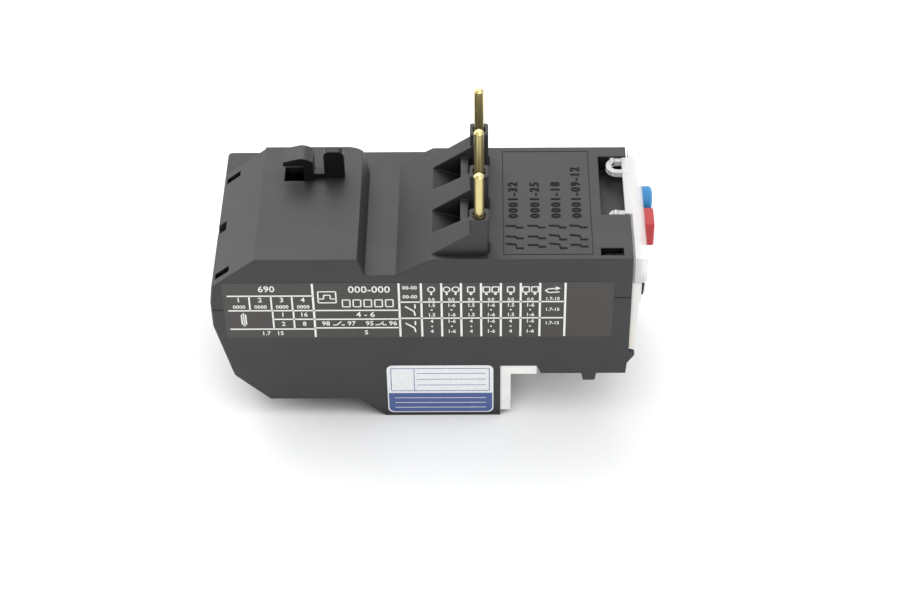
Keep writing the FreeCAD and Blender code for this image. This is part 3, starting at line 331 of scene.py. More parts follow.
@dataclass(frozen=True)
class MouldedPlastic(Finish):
    """Moulded plastic with a fine grain, dull patches, a little dust, painted corner shade and
    painted edge highlights.

    Args:
        roughness: its middle roughness.
        specular: how much it mirrors.
        grain: strength of the moulded grain.
        dust: how much pale dust lies on it.
        edge: rounding of its edges in metres.
        wear: how much its edges are painted pale, a painted highlight in patches.
        grime: how much painted shade darkens its corners and pockets.
        top: colour painted on the faces that look up, a painted light standing in for the sheen
            they catch from above, where it differs.
        top_end: how far forward that painted light reaches, in metres.
        upper: colour towards its upper end, where it differs.
        upper_span: heights where that colour begins and is full, in metres.
    """

    roughness: float = 0.5
    specular: float = 0.4
    grain: float = 0.25
    dust: float = 0.0
    edge: float = 0.00025
    wear: float = 0.15
    grime: float = 0.0
    top: Optional[Colour] = None
    top_end: float = 1.0
    upper: Optional[Colour] = None
    upper_span: Point = (0.0, 1.0)

    PATCHES = Noise(90.0, 4.0)
    PATCH_SPAN = (0.3, 0.7)
    PATCH_SHADES = (0.9, 1.1)
    PATCH_ROUGH = 0.12
    GRAIN = Noise(4200.0, 2.0)
    GRAIN_DEPTH = 0.00004
    GRAIN_ROUGH = 0.1
    CORNER_REACH = 0.005
    CORNER_SPAN = (0.1, 0.6)
    CORNER_SHADE = 0.1
    DUST_FIELDS = Noise(60.0, 2.0, (0.55, 0.75))
    SPECK_SCALE = 900.0
    SPECK_RADIUS = 0.1
    SPECK_SPAN = (0.0, 0.06)
    DUST_COLOUR = (0.4, 0.39, 0.38)
    TOP_SPAN = (0.4, 0.75)
    TOP_FADE = (0.0, 0.0005)
    RUBBED = Noise(400.0, 3.0, (0.25, 0.75))
    RUBBED_SHADE = 4.0
    SMUDGES = Noise(1.0, 4.0, (0.45, 0.8), (60.0, 160.0, 90.0))
    SMUDGE_ROUGH = 0.06

    def shader(self, graph: FinishGraph) -> Signal:
        """Fill the graph, see Finish."""
        patches, grain = graph.cloud(self.PATCHES), graph.cloud(self.GRAIN)
        dull, pale = [shade(self.colour, factor) for factor in self.PATCH_SHADES]
        colour = graph.blend(patches.spread(self.PATCH_SPAN), dull, pale)
        if self.upper is not None:
            colour = graph.blend(graph.along("Z").spread(self.upper_span), colour, self.upper)
        # Painted shade: corners and pockets that nearby walls close in are darkened.
        if self.grime > 0:
            closed = graph.corners(self.CORNER_REACH).spread(self.CORNER_SPAN) * self.grime
            colour = graph.blend(closed.clamp(), colour, shade(self.colour, self.CORNER_SHADE))
        if self.dust > 0:
            gate = graph.cloud(self.DUST_FIELDS)
            specks = (self.SPECK_RADIUS - graph.cells(self.SPECK_SCALE)).spread(self.SPECK_SPAN)
            colour = graph.blend((specks * gate * self.dust).clamp(), colour, self.DUST_COLOUR)
        # Painted light: faces that look up are painted in the top colour, standing in for the
        # sheen they catch from above.
        if self.top is not None:
            painted_lit_roof = graph.dot(graph.true_normal(), tuple(UP)).spread(self.TOP_SPAN)
            behind = (self.top_end - graph.along("X")).spread(self.TOP_FADE)
            colour = graph.blend(painted_lit_roof * behind, colour, self.top)
        smooth = graph.soft_edges(self.edge)
        # Painted highlight: the rounded edges are painted pale in patches.
        wear_and_highlight = graph.edges(smooth) * graph.cloud(self.RUBBED) * self.wear
        colour = graph.blend(wear_and_highlight.clamp(), colour, shade(self.colour, self.RUBBED_SHADE))
        rough = self.roughness + patches.swing(self.PATCH_ROUGH) + grain.swing(self.GRAIN_ROUGH)
        rough = rough - graph.cloud(self.SMUDGES) * self.SMUDGE_ROUGH
        normal = graph.relief(grain, self.grain, self.GRAIN_DEPTH, smooth)
        return graph.surface(Base_Color=colour, Roughness=rough.clamp(), Normal=normal,
                             Specular_IOR_Level=self.specular)


@dataclass(frozen=True)
class WorkedMetal(Finish):
    """Drawn or rolled metal with streaks along one axis and dull spots.

    Args:
        roughness: its middle roughness.
        stretch: scales of the streaks along the three axes.
        tarnish: colour of the dull spots.
        streak: how strong the streaks are.
    """

    roughness: float
    stretch: Triple
    tarnish: Colour
    streak: float = 0.25

    SPOTS = Noise(260.0, 4.0, (0.52, 0.74))
    SPOT_SHARE = 0.55
    SPOT_ROUGH = 0.12
    STREAK_DETAIL = 4.0
    STREAK_ROUGH = 0.18
    STREAK_SPAN = (0.35, 0.75)
    STREAK_SHADE = 0.6
    STREAK_RELIEF = 0.7
    STREAK_DEPTH = 0.00003
    EDGE = 0.0001

    def shader(self, graph: FinishGraph) -> Signal:
        """Fill the graph, see Finish."""
        streaks = graph.cloud(Noise(1.0, self.STREAK_DETAIL, stretch=self.stretch))
        spots = graph.cloud(self.SPOTS)
        colour = graph.blend(spots * self.SPOT_SHARE, self.colour, self.tarnish)
        colour = graph.blend(streaks.spread(self.STREAK_SPAN) * self.streak, colour,
                             shade(self.colour, self.STREAK_SHADE))
        rough = self.roughness + streaks.swing(self.STREAK_ROUGH) + spots * self.SPOT_ROUGH
        normal = graph.relief(streaks, self.streak * self.STREAK_RELIEF, self.STREAK_DEPTH,
                              graph.soft_edges(self.EDGE))
        return graph.surface(Base_Color=colour, Roughness=rough.clamp(), Metallic=1.0,
                             Normal=normal)


@dataclass(frozen=True)
class ClearPlastic(Finish):
    """Clear moulded plastic, scuffed, with milky edges.

    Args:
        haze: share of light that its broad faces scatter.
        edge_haze: share of light that its edges scatter.
        broad: direction that its broad faces look along.
    """

    haze: float
    edge_haze: float
    broad: Triple

    PATCHES = Noise(160.0, 4.0)
    PATCH_SHADE = 0.96
    PATCH_RELIEF = 0.15
    PATCH_DEPTH = 0.0001
    PATCH_HAZE = 0.12
    SCUFFS = Noise(1.0, 3.0, (0.55, 0.75), (2600.0, 300.0, 2600.0))
    SCUFF_HAZE = 0.08
    ROUGH = 0.1
    PATCH_ROUGH = 0.1
    SCUFF_ROUGH = 0.15
    EDGE = 0.0002
    THROUGH_SHADE = 0.99

    def shader(self, graph: FinishGraph) -> Signal:
        """Fill the graph, see Finish."""
        patches, scuffs = graph.cloud(self.PATCHES), graph.cloud(self.SCUFFS)
        colour = graph.blend(patches, shade(self.colour, self.PATCH_SHADE), self.colour)
        rough = self.ROUGH + patches * self.PATCH_ROUGH + scuffs * self.SCUFF_ROUGH
        normal = graph.relief(patches, self.PATCH_RELIEF, self.PATCH_DEPTH,
                              graph.soft_edges(self.EDGE))
        body = graph.surface(Base_Color=colour, Roughness=rough.clamp(), Normal=normal)
        tint = (*shade(self.colour, self.THROUGH_SHADE), 1.0)
        through = graph.signal("ShaderNodeBsdfTransparent", 0, {"Color": tint})
        facing = graph.dot(graph.signal("ShaderNodeTexCoord", "Normal", {}), self.broad)
        edge = (1.0 - facing * facing).clamp()
        share = self.haze + edge * (self.edge_haze - self.haze)
        share = share + patches.swing(self.PATCH_HAZE) + scuffs * self.SCUFF_HAZE
        return graph.signal("ShaderNodeMixShader", 0, {0: share.clamp(), 1: through, 2: body})


@dataclass(frozen=True)
class PrintedFilm(Finish):
    """A printed film or ink with slight mottling and rubbed spots.

    Args:
        roughness: its middle roughness.
        rub: colour where it is rubbed.
        coat: weight of its gloss coat.
    """

    roughness: float
    rub: Colour
    coat: float = 0.0

    MOTTLE = Noise(2600.0, 2.0)
    MOTTLE_SPAN = (0.3, 0.7)
    MOTTLE_SHADES = (0.92, 1.06)
    MOTTLE_RELIEF = 0.08
    MOTTLE_DEPTH = 0.00002
    MOTTLE_ROUGH = 0.1
    WORN = Noise(220.0, 5.0, (0.58, 0.78))
    WORN_SHARE = 0.3
    WORN_ROUGH = 0.15

    def shader(self, graph: FinishGraph) -> Signal:
        """Fill the graph, see Finish."""
        mottle, wear_and_highlight = graph.cloud(self.MOTTLE), graph.cloud(self.WORN)
        dull, pale = [shade(self.colour, factor) for factor in self.MOTTLE_SHADES]
        colour = graph.blend(mottle.spread(self.MOTTLE_SPAN), dull, pale)
        colour = graph.blend(wear_and_highlight * self.WORN_SHARE, colour, self.rub)
        rough = self.roughness + mottle.swing(self.MOTTLE_ROUGH) + wear_and_highlight * self.WORN_ROUGH
        normal = graph.relief(mottle, self.MOTTLE_RELIEF, self.MOTTLE_DEPTH)
        return graph.surface(Base_Color=colour, Roughness=rough.clamp(), Normal=normal,
                             Coat_Weight=self.coat)


@dataclass(frozen=True)
class StudioPaper(Finish):
    """The white paper under the object, with painted shadow where the object closes it in."""

    TONE = Noise(3.0, 2.0)
    TONE_SHADE = 0.995
    TONE_ROUGH = 0.05
    ROUGH = 0.9
    FIBRES = Noise(900.0, 2.0)
    FIBRE_RELIEF = 0.02
    FIBRE_DEPTH = 0.0001
    CORNER_REACH = 0.015
    CORNER_SPAN = (0.5, 0.9)
    CORNER_SHARE = 0.8
    CORNER_SHADE = 0.2

    def shader(self, graph: FinishGraph) -> Signal:
        """Fill the graph, see Finish."""
        tone = graph.cloud(self.TONE)
        colour = graph.blend(tone, shade(self.colour, self.TONE_SHADE), self.colour)
        # Painted shadow: the paper is darkened where the object closes it in.
        closed = graph.corners(self.CORNER_REACH).spread(self.CORNER_SPAN) * self.CORNER_SHARE
        colour = graph.blend(closed, colour, shade(self.colour, self.CORNER_SHADE))
        rough = self.ROUGH + tone * self.TONE_ROUGH
        normal = graph.relief(graph.cloud(self.FIBRES), self.FIBRE_RELIEF, self.FIBRE_DEPTH)
        return graph.surface(Base_Color=colour, Roughness=rough, Normal=normal,
                             Specular_IOR_Level=0.0)


class Look(Enum):
    """Every finish of the relay and its studio."""

    # The housing carries painted shade in its corners and pockets and painted highlights on its
    # edges.
    HOUSING = MouldedPlastic("housing_black", (0.0303, 0.0301, 0.0322), grain=0.3, dust=0.5,
                             edge=0.00035, wear=0.6, grime=0.95)
    # Painted shade: the deck's raised marks and frame are the housing plastic painted darker,
    # standing in for the shade on their relief.
    MARK = MouldedPlastic("housing_mark_painted_shade", (0.014, 0.014, 0.0145), 0.6, 0.1, 0.1)
    BORDER = MouldedPlastic("housing_border_painted_shade", (0.023, 0.023, 0.024), 0.6, 0.2, 0.1)
    SEAM = MouldedPlastic("housing_seam", (0.003, 0.003, 0.003), 0.8, 0.05, 0.1)
    # Painted light: the hook's up-facing faces are painted paler than its other faces, standing in
    # for the sheen they catch from above.
    HOOK = MouldedPlastic("hook_black", (0.006, 0.006, 0.0065), 0.35, 0.3, 0.12,
                          top=(0.034, 0.034, 0.0355), top_end=-0.0252)
    WHITE = MouldedPlastic("shroud_white", (0.8, 0.8, 0.77), 0.45, 0.4, 0.2)
    CREAM = MouldedPlastic("panel_cream", (0.76, 0.72, 0.61), 0.45, 0.4, 0.15,
                           upper=(0.74, 0.735, 0.715), upper_span=(0.021, 0.03))
    RED = MouldedPlastic("button_red", (0.5, 0.035, 0.04), 0.4, 0.4, 0.15)
    BLUE = MouldedPlastic("knob_blue", (0.03, 0.24, 0.55), 0.4, 0.4, 0.15)
    INSULATOR = MouldedPlastic("insulator", (0.36, 0.24, 0.12), 0.6, 0.3, 0.3)
    CLEAR = ClearPlastic("cover_clear", (0.86, 0.855, 0.85), 0.1, 0.5, (1.0, 0.0, 0.0))
    PIN = WorkedMetal("pin_brass", (0.68, 0.58, 0.27), 0.32, (1700.0, 1700.0, 16.0),
                      (0.5, 0.36, 0.13), 0.2)
    CONTACT = WorkedMetal("contact_brass", (0.72, 0.5, 0.3), 0.35, (300.0, 3000.0, 900.0),
                          (0.36, 0.2, 0.12))
    METAL = WorkedMetal("steel", (0.62, 0.62, 0.63), 0.32, (900.0, 3000.0, 900.0),
                        (0.4, 0.38, 0.33))
    PLATED = WorkedMetal("yellow_zinc", (0.72, 0.62, 0.4), 0.32, (900.0, 3000.0, 900.0),
                         (0.5, 0.4, 0.2))
    BIMETAL = WorkedMetal("bimetal", (0.58, 0.54, 0.48), 0.4, (120.0, 3000.0, 2600.0),
                          (0.35, 0.27, 0.2))
    HEATER = WorkedMetal("heater_wire", (0.3, 0.28, 0.27), 0.5, (2600.0, 900.0, 900.0),
                         (0.2, 0.14, 0.12))
    LABEL = PrintedFilm("label_film", (0.038, 0.0335, 0.03), 0.4, (0.07, 0.062, 0.055), 0.1)
    PRINT = PrintedFilm("label_print", (0.8, 0.8, 0.77), 0.5, (0.5, 0.49, 0.46))
    PAPER = PrintedFilm("sticker_white", (0.78, 0.785, 0.795), 0.35, (0.7, 0.7, 0.7), 0.3)
    BAND = PrintedFilm("sticker_blue", (0.045, 0.085, 0.26), 0.35, (0.1, 0.15, 0.35), 0.3)
    INK = PrintedFilm("panel_ink", (0.02, 0.02, 0.022), 0.5, (0.2, 0.19, 0.17))
    FLOOR = StudioPaper("studio_paper", (0.94, 0.94, 0.94))


@cache
def material(look: Look) -> bpy.types.Material:
    """The material of a finish, made once."""
    return look.value.make()


def box_outline(low: Point, high: Point) -> list[Point]:
    """A closed line round a rectangle, its first corner twice."""
    return [low, (high[0], low[1]), high, (low[0], high[1]), low]


def ring_outline(centre: Point, radius: float, steps: int = 24) -> list[Point]:
    """A closed line round a circle, its first point twice."""
    angles = [math.tau * i / steps for i in range(steps + 1)]
    return [(centre[0] + radius * math.cos(a), centre[1] + radius * math.sin(a)) for a in angles]


def rounded_outline(low: Point, high: Point, radius: float, steps: int = 5) -> list[Point]:
    """Corners of a rectangle with round corners.

    Args:
        low: lower left corner.
        high: upper right corner.
        radius: radius of its corners.
        steps: steps round each corner.

    Returns:
        The outline in order.
    """
    left, right = low[0] + radius, high[0] - radius
    bottom, top = low[1] + radius, high[1] - radius
    outline = []
    for quarter, (u, v) in enumerate(((right, top), (left, top), (left, bottom), (right, bottom))):
        for i in range(steps + 1):
            angle = math.pi / 2 * (quarter + i / steps)
            outline.append((u + radius * math.cos(angle), v + radius * math.sin(angle)))
    return outline


@dataclass(frozen=True)
class Stroke:
    """A line of a symbol, round the symbol's middle, in millimetres.

    Args:
        points: its points in order.
        width: its width, or none for a filled outline.
    """

    points: Sequence[Point]
    width: Optional[float] = None


class Symbol(Enum):
    """General symbols of the label."""

    FUSE = (Stroke(box_outline((-0.45, -1.4), (0.45, 1.4)), 0.3),
            Stroke(((0.0, -2.0), (0.0, 2.0)), 0.25))
    OVERLOAD = (Stroke(box_outline((-1.9, -1.6), (1.9, 1.6)), 0.3),
                Stroke(((-1.9, -0.5), (-0.7, -0.5), (-0.7, 0.6), (0.7, 0.6), (0.7, -0.5),
                        (1.9, -0.5)), 0.28))
    WINDOW = (Stroke(box_outline((-0.8, -1.0), (0.8, 1.0)), 0.28),)
    OPEN_CONTACT = (Stroke(((-1.3, -0.4), (-0.5, -0.4), (0.5, 0.6)), 0.26),
                    Stroke(((0.5, -0.4), (1.2, -0.4)), 0.26))
    CLOSED_CONTACT = (Stroke(((-1.2, -0.4), (-0.5, -0.4), (0.6, 0.4)), 0.26),
                      Stroke(((0.4, 0.6), (0.4, -0.4), (1.2, -0.4)), 0.26))
    SWITCH = (Stroke(((-1.2, 1.1), (0.7, -0.3), (0.9, -1.6)), 0.34),
              Stroke(((0.9, 0.5), (0.9, 1.7)), 0.34))
    SLEEVED_WIRE = (Stroke(box_outline((-0.7, -0.4), (0.7, 1.1)), 0.28),
                    Stroke(((0.0, -1.2), (0.0, -0.4)), 0.55))
    BARE_WIRE = (Stroke(ring_outline((0.0, 0.4), 0.72), 0.28),
                 Stroke(((0.0, -1.2), (0.0, -0.35)), 0.4))
    DASH = (Stroke(((-0.2, 0.0), (0.2, 0.0)), 0.35),)
    TURN = (Stroke(((1.4, -0.5), (-0.8, -0.7), (-1.6, -0.1), (-0.8, 0.4), (0.8, 0.5)), 0.3),
            Stroke(((0.6, -0.1), (1.7, 0.55), (0.6, 1.1))))


@dataclass(frozen=True)
class Face:
    """A flat face to draw on, in millimetres.

    Args:
        origin: where u and v are zero, in metres.
        across: direction of u.
        up: direction of v.
        out: direction out of the face.
    """

    origin: Vector
    across: Vector
    up: Vector
    out: Vector

    def at(self, u: float, v: float, height: float = 0.0) -> Vector:
        """A place in metres, from u across, v up and height out of the face."""
        return self.origin + (self.across * u + self.up * v + self.out * height) * MM


@dataclass(frozen=True)
class Bend:
    """An upright round corner to draw on, in millimetres.

    Args:
        axis: foot of the corner's axis, in metres.
        radius: its radius.
        start: angle where u is zero, in degrees.
    """

    axis: Vector
    radius: float
    start: float

    def at(self, u: float, v: float, height: float = 0.0) -> Vector:
        """A place on or over the corner.

        Args:
            u: distance round the corner.
            v: distance up.
            height: distance out.

        Returns:
            The place in metres.
        """
        angle = math.radians(self.start) + u / self.radius
        reach = self.radius + height
        return self.axis + Vector((reach * math.cos(angle), reach * math.sin(angle), v)) * MM

    def line(self, level: float, steps: int = 6) -> list[Point]:
        """Places along a quarter turn at one level."""
        return [(self.radius * math.pi / 2 * i / steps, level) for i in range(steps + 1)]


def place_piece(build: bmesh.types.BMesh, name: str, look: Look,
                body: Body = Body.HOUSING) -> bpy.types.Object:
    """Turn a finished mesh into one piece of the object.

    Args:
        build: the mesh, freed here.
        name: the piece's name.
        look: its finish.
        body: the body that it rides on.

    Returns:
        The piece.
    """
    bmesh.ops.recalc_face_normals(build, faces=build.faces[:])
    mesh = bpy.data.meshes.new(name)
    build.to_mesh(mesh)
    build.free()
    mesh.materials.append(material(look))
    piece = bpy.data.objects.new(name, mesh)
    bpy.context.scene.collection.objects.link(piece)
    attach(piece, body.value)
    LOG.info("built %s with %d faces", name, len(mesh.polygons))
    return piece


class Relief:
    """A thin raised drawing on a face, gathered into one mesh."""

    RIM_SHARE = 0.5
    RIM_LIMIT = 0.3
    WALL_SHARE = 0.7
    CAPITAL_SHARE = 0.7
    FIGURE_STEPS = 2

    def __init__(self, face: Union[Face, Bend], height: float, sunk: float = 0.02) -> None:
        """Start an empty drawing.

        Args:
            face: the face to draw on.
            height: how far it stands out, in millimetres.
            sunk: how far its foot lies in the face, in millimetres.
        """
        self.face = face
        self.height = height
        self.sunk = sunk
        self.mesh = bmesh.new()

    def patch(self, outline: Sequence[Point]) -> None:
        """Raise a filled outline with a bevelled rim.

        Args:
            outline: its corners in order.
        """
        count = len(outline)
        middle_u, middle_v = [sum(values) / count for values in zip(*outline)]
        reach = max(math.hypot(u - middle_u, v - middle_v) for u, v in outline)
        shrink = 1.0 - min(self.RIM_LIMIT, self.RIM_SHARE * self.height / reach)
        inner = [(middle_u + (u - middle_u) * shrink, middle_v + (v - middle_v) * shrink)
                 for u, v in outline]
        levels = ((outline, -self.sunk), (outline, self.height * self.WALL_SHARE),
                  (inner, self.height))
        low, high, top = [[self.mesh.verts.new(self.face.at(u, v, level)) for u, v in line]
                          for line, level in levels]
        for one, two in ((low, high), (high, top)):
            for i in range(count):
                j = (i + 1) % count
                self.mesh.faces.new((one[i], one[j], two[j], two[i]))
        self.mesh.faces.new(top)

    def bar(self, start: Point, end: Point, width: float) -> None:
        """Raise a straight line.

        Args:
            start: one end.
            end: the other end.
            width: its width.
        """
        du, dv = end[0] - start[0], end[1] - start[1]
        length = math.hypot(du, dv)
        nu, nv = -dv / length * width / 2, du / length * width / 2
        self.patch([(start[0] + nu, start[1] + nv), (start[0] - nu, start[1] - nv),
                    (end[0] - nu, end[1] - nv), (end[0] + nu, end[1] + nv)])

    def path(self, points: Sequence[Point], width: float) -> None:
        """Raise a line through several points."""
        for start, end in zip(points, points[1:]):
            self.bar(start, end, width)

    def symbol(self, symbol: Symbol, at: Point) -> None:
        """Raise a symbol.

        Args:
            symbol: the symbol.
            at: its middle.
        """
        for stroke in symbol.value:
            points = [(at[0] + u, at[1] + v) for u, v in stroke.points]
            if stroke.width is None:
                self.patch(points)
            else:
                self.path(points, stroke.width)

    def figures(self, text: str, anchor: Point, size: float, turn: float = 0.0,
                align: Align = Align.CENTRE, bold: float = 0.025, spacing: float = 1.0) -> None:
        """Raise a line of figures.

        Args:
            text: the figures.
            anchor: where the line sits.
            size: height of a capital in millimetres.
            turn: angle of the line in degrees.
            align: how the line sits on its anchor.
            bold: extra stroke width in millimetres.
            spacing: distance between figures, one for the usual one.
        """
        curve = bpy.data.curves.new("figures", "FONT")
        curve.body = text
        curve.align_x = align.value
        curve.align_y = "CENTER"
        curve.size = size / self.CAPITAL_SHARE
        curve.offset = bold
        curve.space_character = spacing
        curve.resolution_u = self.FIGURE_STEPS
        curve.extrude = (self.height + self.sunk) / 2
        holder = bpy.data.objects.new("figures", curve)
        flat = bpy.data.meshes.new_from_object(holder)
        cos, sin = math.cos(math.radians(turn)), math.sin(math.radians(turn))
        middle = (self.height - self.sunk) / 2
        for vertex in flat.vertices:
            x, y, z = vertex.co
            vertex.co = self.face.at(anchor[0] + x * cos - y * sin, anchor[1] + x * sin + y * cos,
                                     z + middle)
        self.mesh.from_mesh(flat)
        bpy.data.meshes.remove(flat)
        bpy.data.objects.remove(holder)
        bpy.data.curves.remove(curve)

    def finish(self, name: str, look: Look,
               body: Body = Body.HOUSING) -> None:
        """Close the drawing into one piece of the object."""
        place_piece(self.mesh, name, look, body)


def side_face() -> Face:
    """The near side of the housing, with u from its rear end and v from the floor."""
    low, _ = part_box("lower_housing")
    return Face(Vector((low.x, low.y, 0.0)), FORWARD, UP, -ACROSS)


def deck_face(hook_depth: float = 3.0) -> Face:
    """The deck, with u from the housing's rear end and v from its near side.

    Args:
        hook_depth: how far the hook's foot lies under the deck, in millimetres.

    Returns:
        The face.
    """
    low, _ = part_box("upper_housing")
    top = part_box("contactor_hook")[0].z
    return Face(Vector((low.x, low.y, top + hook_depth * MM)), FORWARD, ACROSS, UP)


@dataclass
class Dressing:
    """The finishes of the CAD nodes."""

    single: dict[Look, tuple[str, ...]] = field(default_factory=lambda: {
        Look.HOUSING: ("upper_housing", "lower_housing"),
        Look.HOOK: ("contactor_hook", "cover_catch"),
        Look.CREAM: ("front_panel", "setting_dial", "dial_cam", "reset_plunger"),
        Look.RED: ("stop_button",),
        Look.BLUE: ("reset_knob",),
        Look.WHITE: ("terminal_shroud",),
        Look.CLEAR: ("clear_cover",),
        Look.METAL: ("cover_hinge_pins", "retainer_screws", "trip_lever", "lever_pivot"),
        Look.INSULATOR: ("pin_retainer", "trip_bar", "contact_carriage"),
        Look.CONTACT: ("closed_contact_bridge", "open_contact_bridge"),
    })
    per_pole: dict[Look, tuple[str, ...]] = field(default_factory=lambda: {
        Look.PIN: ("plug_pin",),
        Look.BIMETAL: ("bimetal",),
        Look.INSULATOR: ("heater_sleeve",),
        Look.HEATER: ("heater_winding",),
        Look.CONTACT: ("heater_lead", "terminal_bar"),
        Look.METAL: ("terminal_screw",),
    })
    per_terminal: dict[Look, tuple[str, ...]] = field(default_factory=lambda: {
        Look.CONTACT: ("aux_contact",),
        Look.PLATED: ("aux_screw",),
    })

    def build(self) -> None:
        """Give every CAD node its finish."""
        for look, names in self.single.items():
            self.dress(names, look)
        for table, numbers in ((self.per_pole, POLES), (self.per_terminal, TERMINALS)):
            for look, names in table.items():
                self.dress([f"{name}_{number}" for name in names for number in numbers], look)

    def dress(self, names: Iterable[str], look: Look) -> None:
        """Give CAD nodes a finish.

        Args:
            names: the nodes.
            look: the finish.
        """
        for name in names:
            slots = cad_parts[name].data.materials
            slots.clear()
            slots.append(material(look))
            LOG.info("dressed %s in %s", name, look.value.name)


@dataclass
class DeckTable:
    """The raised table on the deck: a frame, a line of figures per column and zigzag marks."""

    frame_low: Point = (62.5, 1.7)
    frame_high: Point = (81.2, 35.6)
    frame_height: float = 0.06
    line_width: float = 0.16
    mark_height: float = 0.12
    columns: tuple[float, ...] = (64.75, 69.4, 73.9, 78.3)
    numbers: tuple[str, ...] = ("0001-32", "0001-25", "0001-18", "0001-09-12")
    text_start: float = 13.3
    text_turn: float = 90.0
    figure_size: float = 1.95
    figure_bold: float = 0.06
    figure_spacing: float = 1.31
    rows: tuple[float, ...] = (10.5, 7.1, 4.4)
    stroke: float = 0.42
    thin_share: float = 0.6
    zigzag_places: tuple[float, ...] = (-1.8, 0.4, 0.5, 2.0)
    steep: tuple[tuple[int, int], ...] = ((0, 2), (2, 1), (2, 2), (3, 1))
    steep_form: Point = (0.75, 0.35)
    flat_form: Point = (0.3, 0.05)

    def build(self) -> None:
        """Build the frame and the marks."""
        table = Relief(deck_face(), self.frame_height)
        table.path(box_outline(self.frame_low, self.frame_high), self.line_width)
        table.finish("deck_frame", Look.BORDER)
        marks = Relief(deck_face(), self.mark_height)
        for column, middle in enumerate(self.columns):
            marks.figures(self.numbers[column], (middle, self.text_start), self.figure_size,
                          self.text_turn, Align.LEFT, self.figure_bold, self.figure_spacing)
            for row, level in enumerate(self.rows):
                form = self.steep_form if (column, row) in self.steep else self.flat_form
                self.zigzag(marks, (middle, level), form)
        marks.finish("deck_marks", Look.MARK)

    def zigzag(self, marks: Relief, at: Point, form: Point) -> None:
        """Raise one zigzag mark.

        Args:
            marks: the drawing.
            at: its middle.
            form: half its height, and how far its upper line falls.
        """
        left, bend, foot, right = [at[0] + place for place in self.zigzag_places]
        fall, tilt = form
        high, low = at[1] + fall, at[1] - fall
        marks.bar((left, high), (bend, high - tilt), self.stroke)
        marks.bar((bend, high - tilt), (foot, low), self.stroke * self.thin_share)
        marks.bar((bend, low), (right, low), self.stroke)


@dataclass
class ChimneyFeet:
    """Painted shade: a dark strip on the deck at the feet of the pin chimneys."""

    size: float = 4.0
    corner_round: float = 0.7
    rib_reach: float = 11.2
    gap: float = 0.3
    rib_gap: float = 0.48
    height: float = 0.02

    def build(self) -> None:
        """Build the painted shade in front of each chimney, and along the near rib."""
        face = deck_face()
        drawing = Relief(face, self.height)
        half = self.size / 2
        for pole in POLES:
            low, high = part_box(f"plug_pin_{pole}")
            u = ((low.x + high.x) / 2 - face.origin.x) / MM + half + self.gap / 2
            v = (low.y - face.origin.y + (high.x - low.x) / 2) / MM
            corner = (u - self.corner_round, v - half - self.gap / 2)
            drawing.path([corner, (u, v - half + self.corner_round), (u, v + half)], self.gap)
            if pole == POLES[0]:
                drawing.bar((u - self.rib_reach, corner[1]), corner, self.rib_gap)
        drawing.finish("chimney_feet_painted_shade", Look.MARK)


@dataclass
class PartingLine:
    """The dark line where the two mouldings meet, round the rear, near and far sides."""

    width: float = 0.16
    height: float = 0.015
    sunk: float = 0.01
    near_round: float = 0.5
    near_start: float = 180.0
    far_round: float = 1.0
    far_start: float = 90.0
    front_length: float = 45.0

    def build(self) -> None:
        """Build the stepped line of both sides and the level line of the rear."""
        low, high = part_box("upper_housing")
        rear = low.z / MM
        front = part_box("lower_housing")[1].z / MM
        length = (high.x - low.x) / MM
        step = length - self.front_length
        far_face = Face(Vector((low.x, high.y, 0.0)), FORWARD, UP, ACROSS)
        for name, face, corner in (("seam_near", side_face(), self.near_round),
                                   ("seam_far", far_face, self.far_round)):
            seam = Relief(face, self.height, self.sunk)
            seam.path([(corner, rear), (step, rear), (step, front), (length, front)], self.width)
            seam.finish(name, Look.SEAM)
        back = Relief(Face(Vector((low.x, low.y, 0.0)), ACROSS, UP, -FORWARD), self.height,
                      self.sunk)
        end = (high.y - low.y) / MM - self.far_round
        back.path([(self.near_round, rear), (end, rear)], self.width)
        for radius, y, start in ((self.near_round, low.y + self.near_round * MM, self.near_start),
                                 (self.far_round, high.y - self.far_round * MM, self.far_start)):
            back.face = Bend(Vector((low.x + radius * MM, y, 0.0)), radius, start)
            back.path(back.face.line(rear), self.width)
        back.finish("seam_rear", Look.SEAM)


